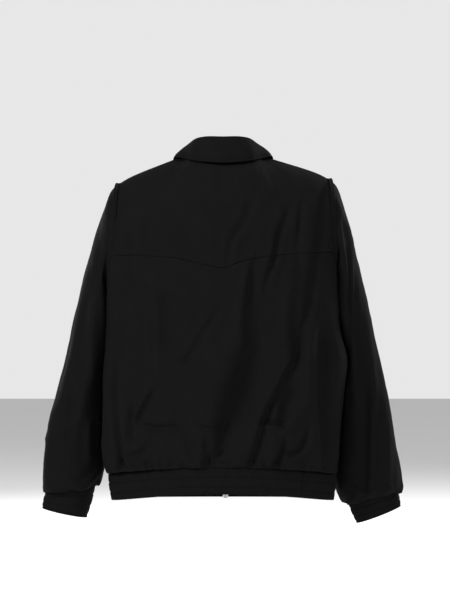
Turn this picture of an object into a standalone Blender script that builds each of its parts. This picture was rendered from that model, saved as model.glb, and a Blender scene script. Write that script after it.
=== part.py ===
"""Bomber jacket of black woven cloth, filled out with no wearer.

Metres, +Z up, front towards -Y, the wearer's left at +X. The origin is the middle of the back neck
seam. Every cloth piece is a thin wall: an outer skin worked out from named sizes and short tables,
and an inner skin one wall thickness behind it.
"""
from math import pi

import bmesh
import bpy
import numpy as np
from mathutils import Matrix

# ---------------------------------------------------------------- driving sizes
CLOTH = 0.0015              # body and sleeve wall
BAND = 0.0024               # waistband and cuff wall, cloth over elastic
COLLAR_CLOTH = 0.0022       # collar wall, two cloths and a stiffener
SEAM_GAP = 0.0003           # clear gap between neighbouring pieces
BAND_HEIGHT = 0.053         # waistband, seam to hem

NECK_X = 0.085              # half width of the neck
NECK_BACK = 0.055           # back neck seam behind the shoulder line
NECK_SIDE_Z = 0.013         # shoulder seam where it meets the neck
ZIP_X = -0.005              # the front closes a little to the wearer's right
FRONT_EDGE = 0.0055         # front edge from the middle of the zip

ARM_BACK = 0.088            # armhole depth behind its middle
ARM_FRONT = 0.070           # and in front
ARM_BULGE = 0.008           # the armhole's back leans outward, its front inward
PIT_Y = -0.045              # underarm point and side seam
PIT_Z = -0.285
ARM_ROOM = 0.006            # a hanging sleeve keeps this clear of the body's side
ROOM_OPENS = 0.22           # share of the sleeve's length over which that room opens
PUSH_STARTS = 0.20          # and over which the sleeve begins to be held off
SOFT_TOUCH = 0.005          # how gradually it turns away from the body
ARMHOLE_KEPT = 0.28         # share of the sleeve's length that remembers the armhole's loop
SHAPED = 0.42               # share of the upper rows that blend into the shoulder line
CORNER_SPREAD = 0.10        # width over which the neck and shoulder corner softens
CORNER_WEIGHTS = ((-2, 0.1), (-1, 0.25), (0, 0.3), (1, 0.25), (2, 0.1))
SHOULDER_SAG = 0.008        # the shoulder seam drops this much at its tip
SQUARE_BACK = 2.2           # how square the body's rings are, 2 for an ellipse
SQUARE_FRONT = 2.6

NECK_SHARE = {1: 0.40, -1: 0.50}    # share of the back's and the fronts' width that the neck takes
NECK_STEPS = {1: 12, -1: 6}         # columns across the neck, whole back or each front
SHOULDER_STEPS = {1: 10, -1: 6}     # columns across one shoulder
YOKE_ROWS = 8
ARM_ROWS = 6                # rows from the yoke seam to the underarm
FRONT_ARM_ROWS = 12         # rows of a front down the armhole
SIDE_ROWS = 12              # rows from the underarm to the waistband
SLEEVE_STEPS = 15           # rings of a sleeve above its bagged end
BAG_STARTS = 0.90           # share of the sleeve's length where that end begins
ROW_BUNCHING = 0.92         # power that draws rows and columns a little towards the seams


def table(columns, *rows):
    """Rows of numbers as one array for each named column."""
    return dict(zip(columns, np.array(rows, float).T))


SIDES = {
    "left": {"sign": 1.0, "tip_x": 0.2140, "tip_z": -0.0450},
    "right": {"sign": -1.0, "tip_x": 0.2170, "tip_z": -0.0350},
}

# Middle of the back and of the front from the neck (0) past underarm level (1) to the waist seam (2).
MIDDLE = table(
    ("level", "back_y", "back_z", "front_y", "front_z", "widest_y"),
    (0.00, 0.055, 0.000, -0.109, -0.083, 0.000),
    (0.15, 0.095, -0.019, -0.1105, -0.112, 0.010),
    (0.30, 0.120, -0.060, -0.1145, -0.140, 0.030),
    (0.50, 0.137, -0.130, -0.125, -0.185, 0.042),
    (0.75, 0.146, -0.220, -0.136, -0.245, 0.038),
    (1.00, 0.148, -0.298, -0.140, -0.300, 0.034),
    (1.35, 0.146, -0.415, -0.143, -0.420, 0.034),
    (1.70, 0.146, -0.525, -0.144, -0.540, 0.030),
    (1.90, 0.144, -0.590, -0.142, -0.610, 0.026),
    (2.00, 0.131, -0.617, -0.131, -0.641, 0.022),
)

# Half widths of the body below the underarm, from the photo's outline.
BODY = table(
    ("level", "left", "right"),
    (1.00, 0.236, 0.2345),
    (1.15, 0.238, 0.237),
    (1.33, 0.240, 0.252),
    (1.48, 0.243, 0.246),
    (1.74, 0.244, 0.238),
    (1.90, 0.246, 0.235),
    (2.00, 0.236, 0.230),
)
SIDE_WAIST_Z = -0.637

# The yoke's lower seam, from the wearer's left to right, with its point near the middle.
YOKE_SEAM = table(
    ("x", "z"),
    (-0.225, -0.1825), (-0.166, -0.1866), (-0.133, -0.1886), (-0.082, -0.1958),
    (-0.037, -0.2050), (0.000, -0.2173), (0.033, -0.2120), (0.068, -0.2030),
    (0.1025, -0.1968), (0.1415, -0.1930), (0.197, -0.1917), (0.232, -0.1927),
)

# A crease is a soft trough with a lower ridge each side, worked out from steps along its route. It
# fades out over the last tenth of a panel's width, towards the seams above and below, and at the zip.
FOLD_STEPS = 13
RIDGE_HEIGHT = 0.35         # share of the trough's depth
RIDGE_PLACE = 1.9           # widths from the trough's middle
FOLDS_START = 0.20          # level by which creases have their full depth
FOLDS_STOP = 0.08           # levels before the waist seam where they fade
FOLDS_FROM_ZIP = (0.14, 0.30)
SLEEVE_FOLDS_START = 0.10   # the same down a sleeve, in shares of its length
SLEEVE_FOLDS_STOP = (0.88, 0.96)
SLEEVE_FOLDS_INSIDE = (125, 150)        # degrees round it where they fade towards the body

# Main creases seen from behind: a soft trough from start through via to end.
BACK_FOLDS = table(
    ("start_x", "start_z", "via_x", "via_z", "end_x", "end_z", "depth", "width"),
    (-0.205, -0.060, -0.178, -0.250, -0.108, -0.455, 0.0065, 0.016),
    (-0.122, -0.430, -0.080, -0.505, -0.048, -0.612, 0.0080, 0.014),
    (-0.112, -0.130, -0.075, -0.225, -0.030, -0.345, 0.0050, 0.015),
    (-0.020, -0.360, 0.002, -0.440, 0.022, -0.585, 0.0095, 0.023),
    (0.002, -0.300, 0.030, -0.350, 0.075, -0.405, 0.0030, 0.015),
    (0.150, -0.150, 0.152, -0.330, 0.138, -0.520, 0.0035, 0.018),
    (0.205, -0.180, 0.208, -0.390, 0.206, -0.600, 0.0035, 0.015),
    (0.142, -0.465, 0.158, -0.500, 0.178, -0.545, 0.0045, 0.014),
    (0.145, -0.578, 0.180, -0.598, 0.200, -0.610, 0.0060, 0.014),
    (0.070, -0.545, 0.066, -0.580, 0.066, -0.612, 0.0045, 0.014),
    (-0.060, -0.538, -0.078, -0.548, -0.095, -0.535, 0.0040, 0.014),
    (-0.118, -0.570, -0.108, -0.595, -0.096, -0.612, 0.0045, 0.014),
    (-0.180, -0.558, -0.165, -0.592, -0.135, -0.594, 0.0050, 0.014),
)
# The hidden fronts hang plainly, with creases like those of the back.
FRONT_FOLDS = table(
    ("start_x", "start_z", "via_x", "via_z", "end_x", "end_z", "depth", "width"),
    (0.160, -0.110, 0.130, -0.260, 0.075, -0.430, 0.0050, 0.022),
    (-0.155, -0.120, -0.140, -0.280, -0.105, -0.460, 0.0045, 0.022),
    (0.060, -0.400, 0.075, -0.500, 0.070, -0.620, 0.0055, 0.022),
    (-0.055, -0.440, -0.065, -0.530, -0.060, -0.620, 0.0050, 0.022),
    (0.130, -0.480, 0.125, -0.550, 0.118, -0.625, 0.0045, 0.022),
    (-0.120, -0.520, -0.128, -0.570, -0.126, -0.625, 0.0050, 0.022),
)

# Sleeve centre lines by share of length: outermost and innermost point of each ring, and its depth
# fore and aft. Row 0 is the armhole itself; the last row is the cuff seam.
SLEEVE_COLUMNS = ("along", "out_x", "out_z", "in_x", "in_z", "mid_y", "back", "front")
SLEEVES = {
    "left": table(
        SLEEVE_COLUMNS,
        (0.000, 0.2140, -0.0450, 0.2230, -0.2850, -0.0225, 0.088, 0.084),
        (0.055, 0.2265, -0.0590, 0.2290, -0.2870, -0.0240, 0.088, 0.084),
        (0.120, 0.2430, -0.0960, 0.2330, -0.2930, -0.0280, 0.087, 0.084),
        (0.200, 0.2593, -0.1374, 0.2340, -0.3030, -0.0330, 0.085, 0.083),
        (0.300, 0.2774, -0.1989, 0.2330, -0.3200, -0.0390, 0.081, 0.081),
        (0.420, 0.2990, -0.2830, 0.2300, -0.3550, -0.0460, 0.077, 0.078),
        (0.560, 0.3220, -0.3830, 0.2300, -0.4200, -0.0540, 0.072, 0.072),
        (0.700, 0.3477, -0.4859, 0.2380, -0.5000, -0.0620, 0.067, 0.067),
        (0.820, 0.3655, -0.5700, 0.2440, -0.5700, -0.0680, 0.065, 0.065),
        (0.900, 0.3715, -0.6300, 0.2480, -0.6200, -0.0710, 0.064, 0.064),
        (0.940, 0.3730, -0.6580, 0.2525, -0.6420, -0.0720, 0.063, 0.063),
        (0.970, 0.3725, -0.6750, 0.2565, -0.6595, -0.0725, 0.059, 0.059),
        (0.983, 0.3700, -0.6785, 0.2600, -0.6662, -0.0730, 0.054, 0.054),
        (1.000, 0.3665, -0.6715, 0.2634, -0.6565, -0.0730, 0.048, 0.048)),
    "right": table(
        SLEEVE_COLUMNS,
        (0.000, 0.2170, -0.0350, 0.2215, -0.2850, -0.0225, 0.088, 0.084),
        (0.055, 0.2290, -0.0490, 0.2270, -0.2880, -0.0240, 0.088, 0.084),
        (0.120, 0.2440, -0.0860, 0.2310, -0.2960, -0.0280, 0.087, 0.084),
        (0.200, 0.2590, -0.1300, 0.2330, -0.3080, -0.0330, 0.085, 0.083),
        (0.300, 0.2760, -0.1950, 0.2330, -0.3280, -0.0390, 0.081, 0.081),
        (0.420, 0.2970, -0.2850, 0.2310, -0.3650, -0.0460, 0.077, 0.078),
        (0.560, 0.3170, -0.3700, 0.2300, -0.4250, -0.0540, 0.072, 0.072),
        (0.700, 0.3415, -0.4859, 0.2280, -0.5100, -0.0620, 0.067, 0.067),
        (0.820, 0.3559, -0.5679, 0.2300, -0.5850, -0.0680, 0.065, 0.065),
        (0.900, 0.3640, -0.6280, 0.2310, -0.6450, -0.0710, 0.064, 0.064),
        (0.940, 0.3665, -0.6540, 0.2360, -0.6700, -0.0720, 0.063, 0.063),
        (0.970, 0.3668, -0.6720, 0.2460, -0.6930, -0.0725, 0.059, 0.059),
        (0.985, 0.3645, -0.6765, 0.2530, -0.7015, -0.0730, 0.054, 0.054),
        (1.000, 0.3600, -0.6695, 0.2585, -0.6960, -0.0730, 0.048, 0.048)),
}

# Creases of a sleeve: place round it (0 outside, 90 behind, 180 inside) against share of length.
SLEEVE_FOLDS = {
    "left": table(
        ("start_turn", "start_along", "via_turn", "via_along", "end_turn", "end_along", "depth", "width"),
        (70, 0.10, 75, 0.30, 100, 0.52, 0.0045, 13),
        (75, 0.42, 72, 0.60, 62, 0.78, 0.0040, 12),
        (110, 0.66, 105, 0.80, 98, 0.93, 0.0055, 11),
        (140, 0.70, 128, 0.74, 118, 0.76, 0.0050, 12),
        (30, 0.80, 50, 0.84, 70, 0.86, 0.0040, 14),
        (-70, 0.12, -80, 0.35, -95, 0.60, 0.0045, 13),
        (-60, 0.62, -75, 0.78, -80, 0.93, 0.0050, 12)),
    "right": table(
        ("start_turn", "start_along", "via_turn", "via_along", "end_turn", "end_along", "depth", "width"),
        (60, 0.06, 85, 0.22, 105, 0.42, 0.0050, 12),
        (80, 0.24, 108, 0.55, 112, 0.93, 0.0055, 11),
        (75, 0.55, 80, 0.72, 84, 0.93, 0.0045, 11),
        (45, 0.60, 42, 0.75, 40, 0.90, 0.0035, 12),
        (-75, 0.12, -85, 0.35, -92, 0.60, 0.0045, 13),
        (-55, 0.60, -70, 0.78, -82, 0.93, 0.0050, 12)),
}

# Cuffs: outermost and innermost point at the seam and at the hem, and depth fore and aft.
CUFF_COLUMNS = ("along", "out_x", "out_z", "in_x", "in_z", "mid_y", "half_depth")
CUFFS = {
    "left": table(
        CUFF_COLUMNS,
        (0.0, 0.3650, -0.6716, 0.2650, -0.6568, -0.0730, 0.0465),
        (1.0, 0.3755, -0.7134, 0.2842, -0.7329, -0.0760, 0.0420)),
    "right": table(
        CUFF_COLUMNS,
        (0.0, 0.3586, -0.6699, 0.2599, -0.6960, -0.0730, 0.0465),
        (1.0, 0.3690, -0.7090, 0.2785, -0.7442, -0.0760, 0.0420)),
}
CUFF_WAVES = 24
CUFF_WAVE_HEIGHT = 0.0009
CUFF_SWELL = 0.0020         # the elastic bows out between seam and hem
CUFF_LEVELS = 3
BAND_HALF_WIDTH = {"seam": (0.2345, 0.2300), "hem": (0.2277, 0.2263)}
BAND_DEPTH = {"seam": (0.130, 0.130), "hem": (0.124, 0.126)}      # back, front, from its middle
BAND_WAVE_HEIGHT = 0.0008
BAND_SWELL = 0.0015
BAND_WAVE = 3.6             # degrees round the waist for one wave
BAND_JOIN = -44.0           # seam of the elastic, degrees from the middle of the back
BAND_SIDE = 108.0           # where the elastic ends and the plain front begins
BAND_LEVELS = 3

# Collar round the neck (0 back, 180 front): the fold at its top, and the leaf's free edge, which
# lies over the body at the given face, place across and level, lifted clear of it.
COLLAR = table(
    ("turn", "fold_x", "fold_y", "fold_z", "face", "across", "level", "lift"),
    (0, 0.000, 0.064, 0.0490, 1, 0.00, 0.100, 0.0070),
    (35, 0.037, 0.056, 0.0495, 1, 0.20, 0.090, 0.0070),
    (65, 0.0570, 0.032, 0.0455, 1, 0.36, 0.060, 0.0070),
    (90, 0.0665, -0.002, 0.0355, 1, 0.470, 0.004, 0.0065),
    (120, 0.063, -0.047, 0.0170, -1, 0.53, 0.115, 0.0065),
    (150, 0.040, -0.086, -0.0110, -1, 0.38, 0.190, 0.0060),
    (177, 0.007, -0.108, -0.0440, -1, 0.18, 0.230, 0.0055),
)
COLLAR_FOLD = 0.0034        # radius of the fold at the collar's top
COLLAR_GAP = 0.0010         # the thicker collar's foot from the neck seam, under its leaf
COLLAR_TURN = {"in": 0.0025, "up": 0.0045}      # how its foot turns up off the seam
COLLAR_BOW = 0.003          # the leaf bows out between fold and edge

TAPE = 0.0008
TAPE_INNER = 0.0024         # its edges from the middle of the zip
TAPE_OUTER = 0.0170
TAPE_BAND_ROOM = 0.0006     # more room behind the waistband's bowed wall
CHAIN_HALF = 0.0028
CHAIN_THICK = 0.0022
CHAIN_TOP = 0.075           # level where the slider closes the zip
SLIDER = {"width": 0.0090, "length": 0.0110, "plate": 0.0012, "behind": 0.0016}
POST = {"width": 0.0036, "height": 0.0030, "up": 0.0035}
LUG = {"gap": 0.0036, "thick": 0.0011, "radius": 0.0019, "depth": 0.0042, "height": 0.0034,
       "root": 0.0002, "clear": 0.0009}
PIN_RADIUS = 0.0006
TAB = {"width": 0.0060, "neck": 0.0028, "length": 0.0250, "thick": 0.0014, "hole": 0.0010,
       "neck_end": 0.0040, "shoulder": 0.0062, "corner": 0.0015}
BOX = {"width": 0.0088, "height": 0.0100, "thick": 0.0042, "above": 0.0070, "forward": 0.0016,
       "rounding": 0.0008}

CLOTH_COLOUR = (0.0100, 0.0100, 0.0106)
BAND_COLOUR = (0.0110, 0.0110, 0.0117)
TAPE_COLOUR = (0.0085, 0.0085, 0.0090)
METAL_COLOUR = (0.42, 0.42, 0.44)


# ---------------------------------------------------------------- scene helpers
def clear_scene():
    for item in list(bpy.data.objects):
        bpy.data.objects.remove(item, do_unlink=True)


def new_collection(name):
    found = bpy.data.collections.new(name)
    bpy.context.scene.collection.children.link(found)
    return found


def material(name, colour, roughness, metallic=0.0):
    made = bpy.data.materials.new(name)
    made.use_nodes = True
    shader = made.node_tree.nodes["Principled BSDF"]
    shader.inputs["Base Color"].default_value = (*colour, 1.0)
    shader.inputs["Roughness"].default_value = roughness
    shader.inputs["Metallic"].default_value = metallic
    made.diffuse_color = (*colour, 1.0)
    return made


def unit(vectors):
    return vectors / np.linalg.norm(vectors, axis=-1, keepdims=True)


def smooth(at, keys, values):
    """Cubic curve through a table's column, level with its neighbours at each row."""
    at = np.clip(at, keys[0], keys[-1])
    slope = np.gradient(values, keys)
    row = np.clip(np.searchsorted(keys, at, side="right") - 1, 0, len(keys) - 2)
    step = keys[row + 1] - keys[row]
    part = (at - keys[row]) / step
    rise = part * part * (3 - 2 * part)
    bend_in = part * (1 - part) ** 2
    bend_out = part * part * (part - 1)
    curve = values[row] * (1 - rise) + values[row + 1] * rise
    return curve + step * (slope[row] * bend_in + slope[row + 1] * bend_out)


def ease(value, start, end):
    """0 before start and 1 after end, level at both."""
    part = np.clip((value - start) / (end - start), 0.0, 1.0)
    return part * part * (3 - 2 * part)


def read(rows, column, at, key="level"):
    return smooth(at, rows[key], rows[column])


def crease_depth(folds, across, along, names):
    """Sum of soft troughs, each a curve from its start through via to its end, fading at the ends."""
    share = np.linspace(0.0, 1.0, FOLD_STEPS)
    total = np.zeros(np.broadcast(across, along).shape)
    for row in range(len(folds["depth"])):
        start, via, end = (np.array([folds[f"{part}_{names[0]}"][row], folds[f"{part}_{names[1]}"][row]])
                           for part in ("start", "via", "end"))
        handle = 2 * via - (start + end) / 2
        route = (np.outer((1 - share) ** 2, start) + np.outer(2 * share * (1 - share), handle)
                 + np.outer(share ** 2, end))
        apart = np.stack([across[..., None] - route[:, 0], along[..., None] - route[:, 1]], -1)
        reach = np.linalg.norm(apart, axis=-1)
        nearest = np.argmin(reach, axis=-1)
        fade = np.sin(pi * (0.06 + 0.88 * share[nearest])) ** 0.6
        near = np.take_along_axis(reach, nearest[..., None], -1)[..., 0] / folds["width"][row]
        ridge = RIDGE_HEIGHT * np.exp(-(near - RIDGE_PLACE) ** 2)
        total += folds["depth"][row] * fade * (np.exp(-near ** 2) - ridge)
    return total


def pull_in(grid, gap, first_row=False, last_row=False, first_column=False, last_column=False):
    """Move a grid's chosen borders towards their neighbours by half a seam gap."""
    if first_row:
        grid[0] += unit(grid[1] - grid[0]) * gap
    if last_row:
        grid[-1] += unit(grid[-2] - grid[-1]) * gap
    if first_column:
        grid[:, 0] += unit(grid[:, 1] - grid[:, 0]) * gap
    if last_column:
        grid[:, -1] += unit(grid[:, -2] - grid[:, -1]) * gap
    return grid


def wall(name, outer, inner, look, around=False):
    """Closed wall between two grids of points with the same columns; the rows may differ."""
    columns = outer.shape[1]
    points = np.concatenate([outer.reshape(-1, 3), inner.reshape(-1, 3)])
    outer_id = np.arange(outer.shape[0] * columns).reshape(outer.shape[0], columns)
    inner_id = np.arange(inner.shape[0] * columns).reshape(inner.shape[0], columns) + outer_id.size
    inner_shape = outer if inner.shape == outer.shape else inner
    faces = skin_faces(outer_id, outer, around)
    faces += [face[::-1] for face in skin_faces(inner_id, inner_shape, around)]
    faces += rim_faces(outer_id[0], inner_id[0], around)
    faces += [face[::-1] for face in rim_faces(outer_id[-1], inner_id[-1], around)]
    if not around:
        faces += [face[::-1] for face in rim_faces(outer_id[[0, -1], 0], inner_id[[0, -1], 0], False,
                                                   outer_id[:, 0], inner_id[:, 0])]
        faces += rim_faces(outer_id[[0, -1], -1], inner_id[[0, -1], -1], False,
                           outer_id[:, -1], inner_id[:, -1])
    return mesh_object(name, points, faces, look)


def skin_faces(ids, grid, around):
    """Two triangles for each cell of a grid, cut along the cell's shorter diagonal."""
    if around:
        ids = np.concatenate([ids, ids[:, :1]], axis=1)
        grid = np.concatenate([grid, grid[:, :1]], axis=1)
    a, b, c, d = ids[:-1, :-1], ids[:-1, 1:], ids[1:, 1:], ids[1:, :-1]
    falling = np.linalg.norm(grid[1:, 1:] - grid[:-1, :-1], axis=-1)
    rising = np.linalg.norm(grid[:-1, 1:] - grid[1:, :-1], axis=-1)
    cut = (falling <= rising)[..., None]
    first = np.where(cut, np.stack([a, b, c], -1), np.stack([a, b, d], -1))
    second = np.where(cut, np.stack([a, c, d], -1), np.stack([b, c, d], -1))
    return [tuple(map(int, face)) for face in np.concatenate([first, second]).reshape(-1, 3)]


def rim_faces(outer_ends, inner_ends, around, outer_line=None, inner_line=None):
    """Strip between an outer and an inner border, also where the two have unlike numbers of points."""
    outer_line = outer_ends if outer_line is None else outer_line
    inner_line = inner_ends if inner_line is None else inner_line
    if around:
        outer_line = np.append(outer_line, outer_line[0])
        inner_line = np.append(inner_line, inner_line[0])
    faces = []
    i, j = 0, 0
    while i < len(outer_line) - 1 or j < len(inner_line) - 1:
        outer_next = (i + 1) / (len(outer_line) - 1)
        inner_next = (j + 1) / (len(inner_line) - 1)
        if outer_next <= inner_next:
            faces.append((int(outer_line[i + 1]), int(outer_line[i]), int(inner_line[j])))
            i += 1
        else:
            faces.append((int(outer_line[i]), int(inner_line[j]), int(inner_line[j + 1])))
            j += 1
    return faces


def mesh_object(name, points, faces, look):
    mesh = bpy.data.meshes.new(name)
    mesh.from_pydata([tuple(map(float, point)) for point in points], [], faces)
    work = bmesh.new()
    work.from_mesh(mesh)
    bmesh.ops.recalc_face_normals(work, faces=work.faces)
    work.to_mesh(mesh)
    work.free()
    made = bpy.data.objects.new(name, mesh)
    mesh.materials.append(look)
    jacket.objects.link(made)
    return made


# ---------------------------------------------------------------- the body's surface
def by_side(across, left, right):
    """Value of the wearer's left where across is positive, else of the right."""
    return np.where(across >= 0, left, right)


def ring_share(y, level):
    """Share of a row's full half width at y, for the squared ellipse fore and aft of its widest."""
    widest = read(MIDDLE, "widest_y", level)
    back = read(MIDDLE, "back_y", level) - widest
    front = widest - read(MIDDLE, "front_y", level)
    behind = y >= widest
    square = np.where(behind, SQUARE_BACK, SQUARE_FRONT)
    share = np.clip(np.abs(y - widest) / np.where(behind, back, front), 0.0, 1.0)
    return (1 - share ** square) ** (1 / square)


def ring_half_width(side, y, level):
    """Half width of the body at y below the underarm."""
    return read(BODY, side, level) * ring_share(y, level)


def armhole(side, turn):
    """Armhole loop: turn 0 at the shoulder, +-pi at the underarm, positive behind."""
    size = SIDES[side]
    down = (1 - np.cos(turn)) / 2
    y = PIT_Y * down + np.where(turn >= 0, ARM_BACK, ARM_FRONT) * np.sin(turn)
    z = size["tip_z"] + (PIT_Z - size["tip_z"]) * down
    upper = size["tip_x"] + ARM_BULGE * np.sin(turn)
    lower = ring_half_width(side, y, np.ones_like(y))
    x = upper + (lower - upper) * ease(np.degrees(np.abs(turn)), 50.0, 112.0)
    return np.stack([size["sign"] * x, y, z], -1)


def panel_edge(face, side, level):
    """Edge of a body panel: the armhole down to level 1, then the side seam."""
    hole = armhole(side, face * pi * np.clip(level, 0.0, 1.0))
    below = np.clip(level, 1.0, 2.0)
    seam_x = SIDES[side]["sign"] * ring_half_width(side, PIT_Y, below)
    seam_z = PIT_Z + (SIDE_WAIST_Z - PIT_Z) * (below - 1)
    seam = np.stack([seam_x, np.full_like(seam_x, PIT_Y), seam_z], -1)
    return np.where((level <= 1.0)[..., None], hole, seam)


def body_row(face, across, level):
    """Arc of an ellipse from the panel's edge to the middle of the back or front."""
    edge = np.where((across >= 0)[..., None], panel_edge(face, "left", level),
                    panel_edge(face, "right", level))
    widest = read(MIDDLE, "widest_y", level)
    end_share = ring_share(edge[..., 1], level)
    end = np.arcsin(end_share)
    end = np.where(face * (edge[..., 1] - widest) >= 0, end, pi - end)
    turn = end * np.abs(across)
    share = np.sin(turn)
    x = edge[..., 0] * share / end_share
    behind = face * np.cos(turn) >= 0
    square = np.where(behind, SQUARE_BACK, SQUARE_FRONT)
    limit = np.where(behind, read(MIDDLE, "back_y", level), read(MIDDLE, "front_y", level))
    y = widest + (limit - widest) * np.clip(1 - share ** square, 0.0, 1.0) ** (1 / square)
    middle_z = read(MIDDLE, "back_z" if face > 0 else "front_z", level)
    z = middle_z + (edge[..., 2] - middle_z) * np.sin(pi / 2 * np.abs(across)) ** 2
    return np.stack([x, y, z], -1)


def top_edge(face, across):
    """Neck seam in the middle, then the shoulder seam out to its tip."""
    neck = NECK_SHARE[face]
    sign = np.where(across >= 0, 1.0, -1.0)
    turn = np.clip(np.abs(across) / neck, 0.0, 1.0) * pi / 2
    back_z = NECK_SIDE_Z * np.sin(turn) ** 2
    front_z = MIDDLE["front_z"][0]
    y = NECK_BACK * np.cos(turn) if face > 0 else MIDDLE["front_y"][0] * np.cos(turn)
    z = back_z if face > 0 else front_z + (NECK_SIDE_Z - front_z) * (1 - np.cos(turn))
    out = np.clip((np.abs(across) - neck) / (1 - neck), 0.0, 1.0)
    tip_x = by_side(across, SIDES["left"]["tip_x"], SIDES["right"]["tip_x"])
    tip_z = by_side(across, SIDES["left"]["tip_z"], SIDES["right"]["tip_z"])
    x = NECK_X * np.sin(turn) + (tip_x - NECK_X) * out
    z = z + (tip_z + SHOULDER_SAG - NECK_SIDE_Z) * out - SHOULDER_SAG * out ** 8
    return np.stack([sign * x, y, z], -1)


def shoulder_shift(face, across, level):
    """From the plain top row to the neck and shoulder seam, its corner softened further down."""
    spread = CORNER_SPREAD * ease(level, 0.0, 0.25) * (1 - np.abs(across))
    total = 0.0
    for steps, weight in CORNER_WEIGHTS:
        near = across + steps * spread
        shift = top_edge(face, near) - body_row(face, near, np.zeros_like(level))
        total = total + weight * shift
    return total


def body(face, across, level):
    """Point of the plain body: face +1 back or -1 front, across -1 to 1, level 0 to 2."""
    across, level = np.broadcast_arrays(np.asarray(across, float), np.asarray(level, float))
    row = body_row(face, across, level)
    keep = 1 - ease(level, 0.0, SHAPED)
    point = row + shoulder_shift(face, across, level) * keep[..., None]
    if face < 0:
        point[..., 0] += ZIP_X * (1 - ease(np.abs(across), 0.0, NECK_SHARE[-1]))
    return point


def body_normal(face, across, level):
    """Outward direction of the plain body, felt over a longer reach near the neck, where the
    columns run almost along the seam."""
    step = 2e-3
    high, low = np.clip(across + step, -1, 1), np.clip(across - step, -1, 1)
    wide = body(face, high, level) - body(face, low, level)
    reach = step + 0.06 * (1 - ease(level, 0.0, 0.3))
    down = (body(face, across, np.clip(level + reach, 0, 2))
            - body(face, across, np.clip(level - reach, 0, 2)))
    return unit(face * np.cross(wide, down))


def seam_normal(side, turn):
    """One direction for the rims of the three panels that meet round an armhole."""
    level = np.abs(turn) / pi
    sign = SIDES[side]["sign"] * np.ones_like(level)
    back = body_normal(1, sign, level)
    front = body_normal(-1, sign, level)
    ends = (np.abs(np.sin(turn)) < 1e-6)[..., None]
    own = np.where((turn >= 0)[..., None], back, front)
    own = np.where(ends, unit(back + front), own)
    return unit(own + sleeve_normal(side, turn, np.zeros_like(turn)))


def edge_normal(face, side, level):
    """Rim direction down a panel's edge: armhole first, then the side seam."""
    hole = seam_normal(side, face * pi * np.clip(level, 0.0, 1.0))
    sign = SIDES[side]["sign"] * np.ones_like(level)
    seam = unit(body_normal(1, sign, level) + body_normal(-1, sign, level))
    return np.where((level <= 1.0)[..., None], hole, seam)


def shoulder_normal(face, across):
    """Rim direction that back and front share along the shoulder seam."""
    neck, other = NECK_SHARE[face], NECK_SHARE[-face]
    out = (np.abs(across) - neck) / (1 - neck)
    meets = np.sign(across) * (other + (1 - other) * out)
    level = np.zeros_like(across)
    return unit(body_normal(face, across, level) + body_normal(-face, meets, level))


def draped(face, across, level, folds):
    """Body point with its creases, which fade out towards the panel's seams."""
    point = body(face, across, level)
    normal = body_normal(face, across, level)
    keep = (1 - np.abs(across) ** 10) * np.clip((2.0 - level) / FOLDS_STOP, 0, 1)
    keep = keep * np.clip(level / FOLDS_START, 0, 1)
    if face < 0:
        keep = keep * ease(np.abs(across), *FOLDS_FROM_ZIP)
    depth = crease_depth(folds, point[..., 0], point[..., 2], ("x", "z")) * keep
    return point - normal * depth[..., None], normal


# ---------------------------------------------------------------- the sleeves' surface
def sleeve_ring(side, turn, along):
    """Ring of a sleeve before it meets the armhole: half an ellipse behind and half in front."""
    rows = SLEEVES[side]
    out = np.stack([read(rows, f"out_{axis}", along, "along") for axis in "xz"], -1)
    inside = np.stack([read(rows, f"in_{axis}", along, "along") for axis in "xz"], -1)
    across = (1 + np.cos(turn))[..., None] / 2
    spot = inside + (out - inside) * across
    depth = np.where(turn >= 0, read(rows, "back", along, "along"), read(rows, "front", along, "along"))
    y = read(rows, "mid_y", along, "along") + depth * np.sin(turn)
    return np.stack([SIDES[side]["sign"] * spot[..., 0], y, spot[..., 1]], -1)


def clear_of_body(side, point, along):
    """Move a sleeve's inner points outward until they just clear the body's side."""
    level = 1 + np.clip((point[..., 2] - PIT_Z) / (SIDE_WAIST_Z - PIT_Z), 0.0, 1.0)
    room = ARM_ROOM * np.clip(along / ROOM_OPENS, 0.0, 1.0)
    limit = ring_half_width(side, point[..., 1], level) + room
    sign = SIDES[side]["sign"]
    short = limit - sign * point[..., 0]
    push = (short + np.sqrt(short ** 2 + SOFT_TOUCH ** 2)) / 2
    moved = point.copy()
    moved[..., 0] += sign * push * ease(along, 0.0, PUSH_STARTS)
    return moved


def sleeve(side, turn, along):
    """Point of a plain sleeve: turn 0 outside and +-pi inside, along 0 at the armhole to 1."""
    turn, along = np.broadcast_arrays(np.asarray(turn, float), np.asarray(along, float))
    ring = sleeve_ring(side, turn, along)
    start = sleeve_ring(side, turn, np.zeros_like(along))
    keep = 1 - ease(along, 0.0, ARMHOLE_KEPT)
    point = ring + (armhole(side, turn) - start) * keep[..., None]
    return clear_of_body(side, point, along)


def sleeve_normal(side, turn, along):
    step = 4e-3
    round_it = sleeve(side, turn + step, along) - sleeve(side, turn - step, along)
    down = (sleeve(side, turn, np.clip(along + step, 0, 1))
            - sleeve(side, turn, np.clip(along - step, 0, 1)))
    return unit(SIDES[side]["sign"] * np.cross(down, round_it))


# ---------------------------------------------------------------- body panels
def yoke_level(across):
    """Level at which each column of the back crosses the yoke's lower seam."""
    levels = np.linspace(0.2, 1.1, 90)
    found = []
    for column in across:
        point = body(1, np.full_like(levels, column), levels)
        above = point[:, 2] - smooth(point[:, 0], YOKE_SEAM["x"], YOKE_SEAM["z"])
        found.append(np.interp(0.0, -above, levels))
    return np.array(found)


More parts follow.
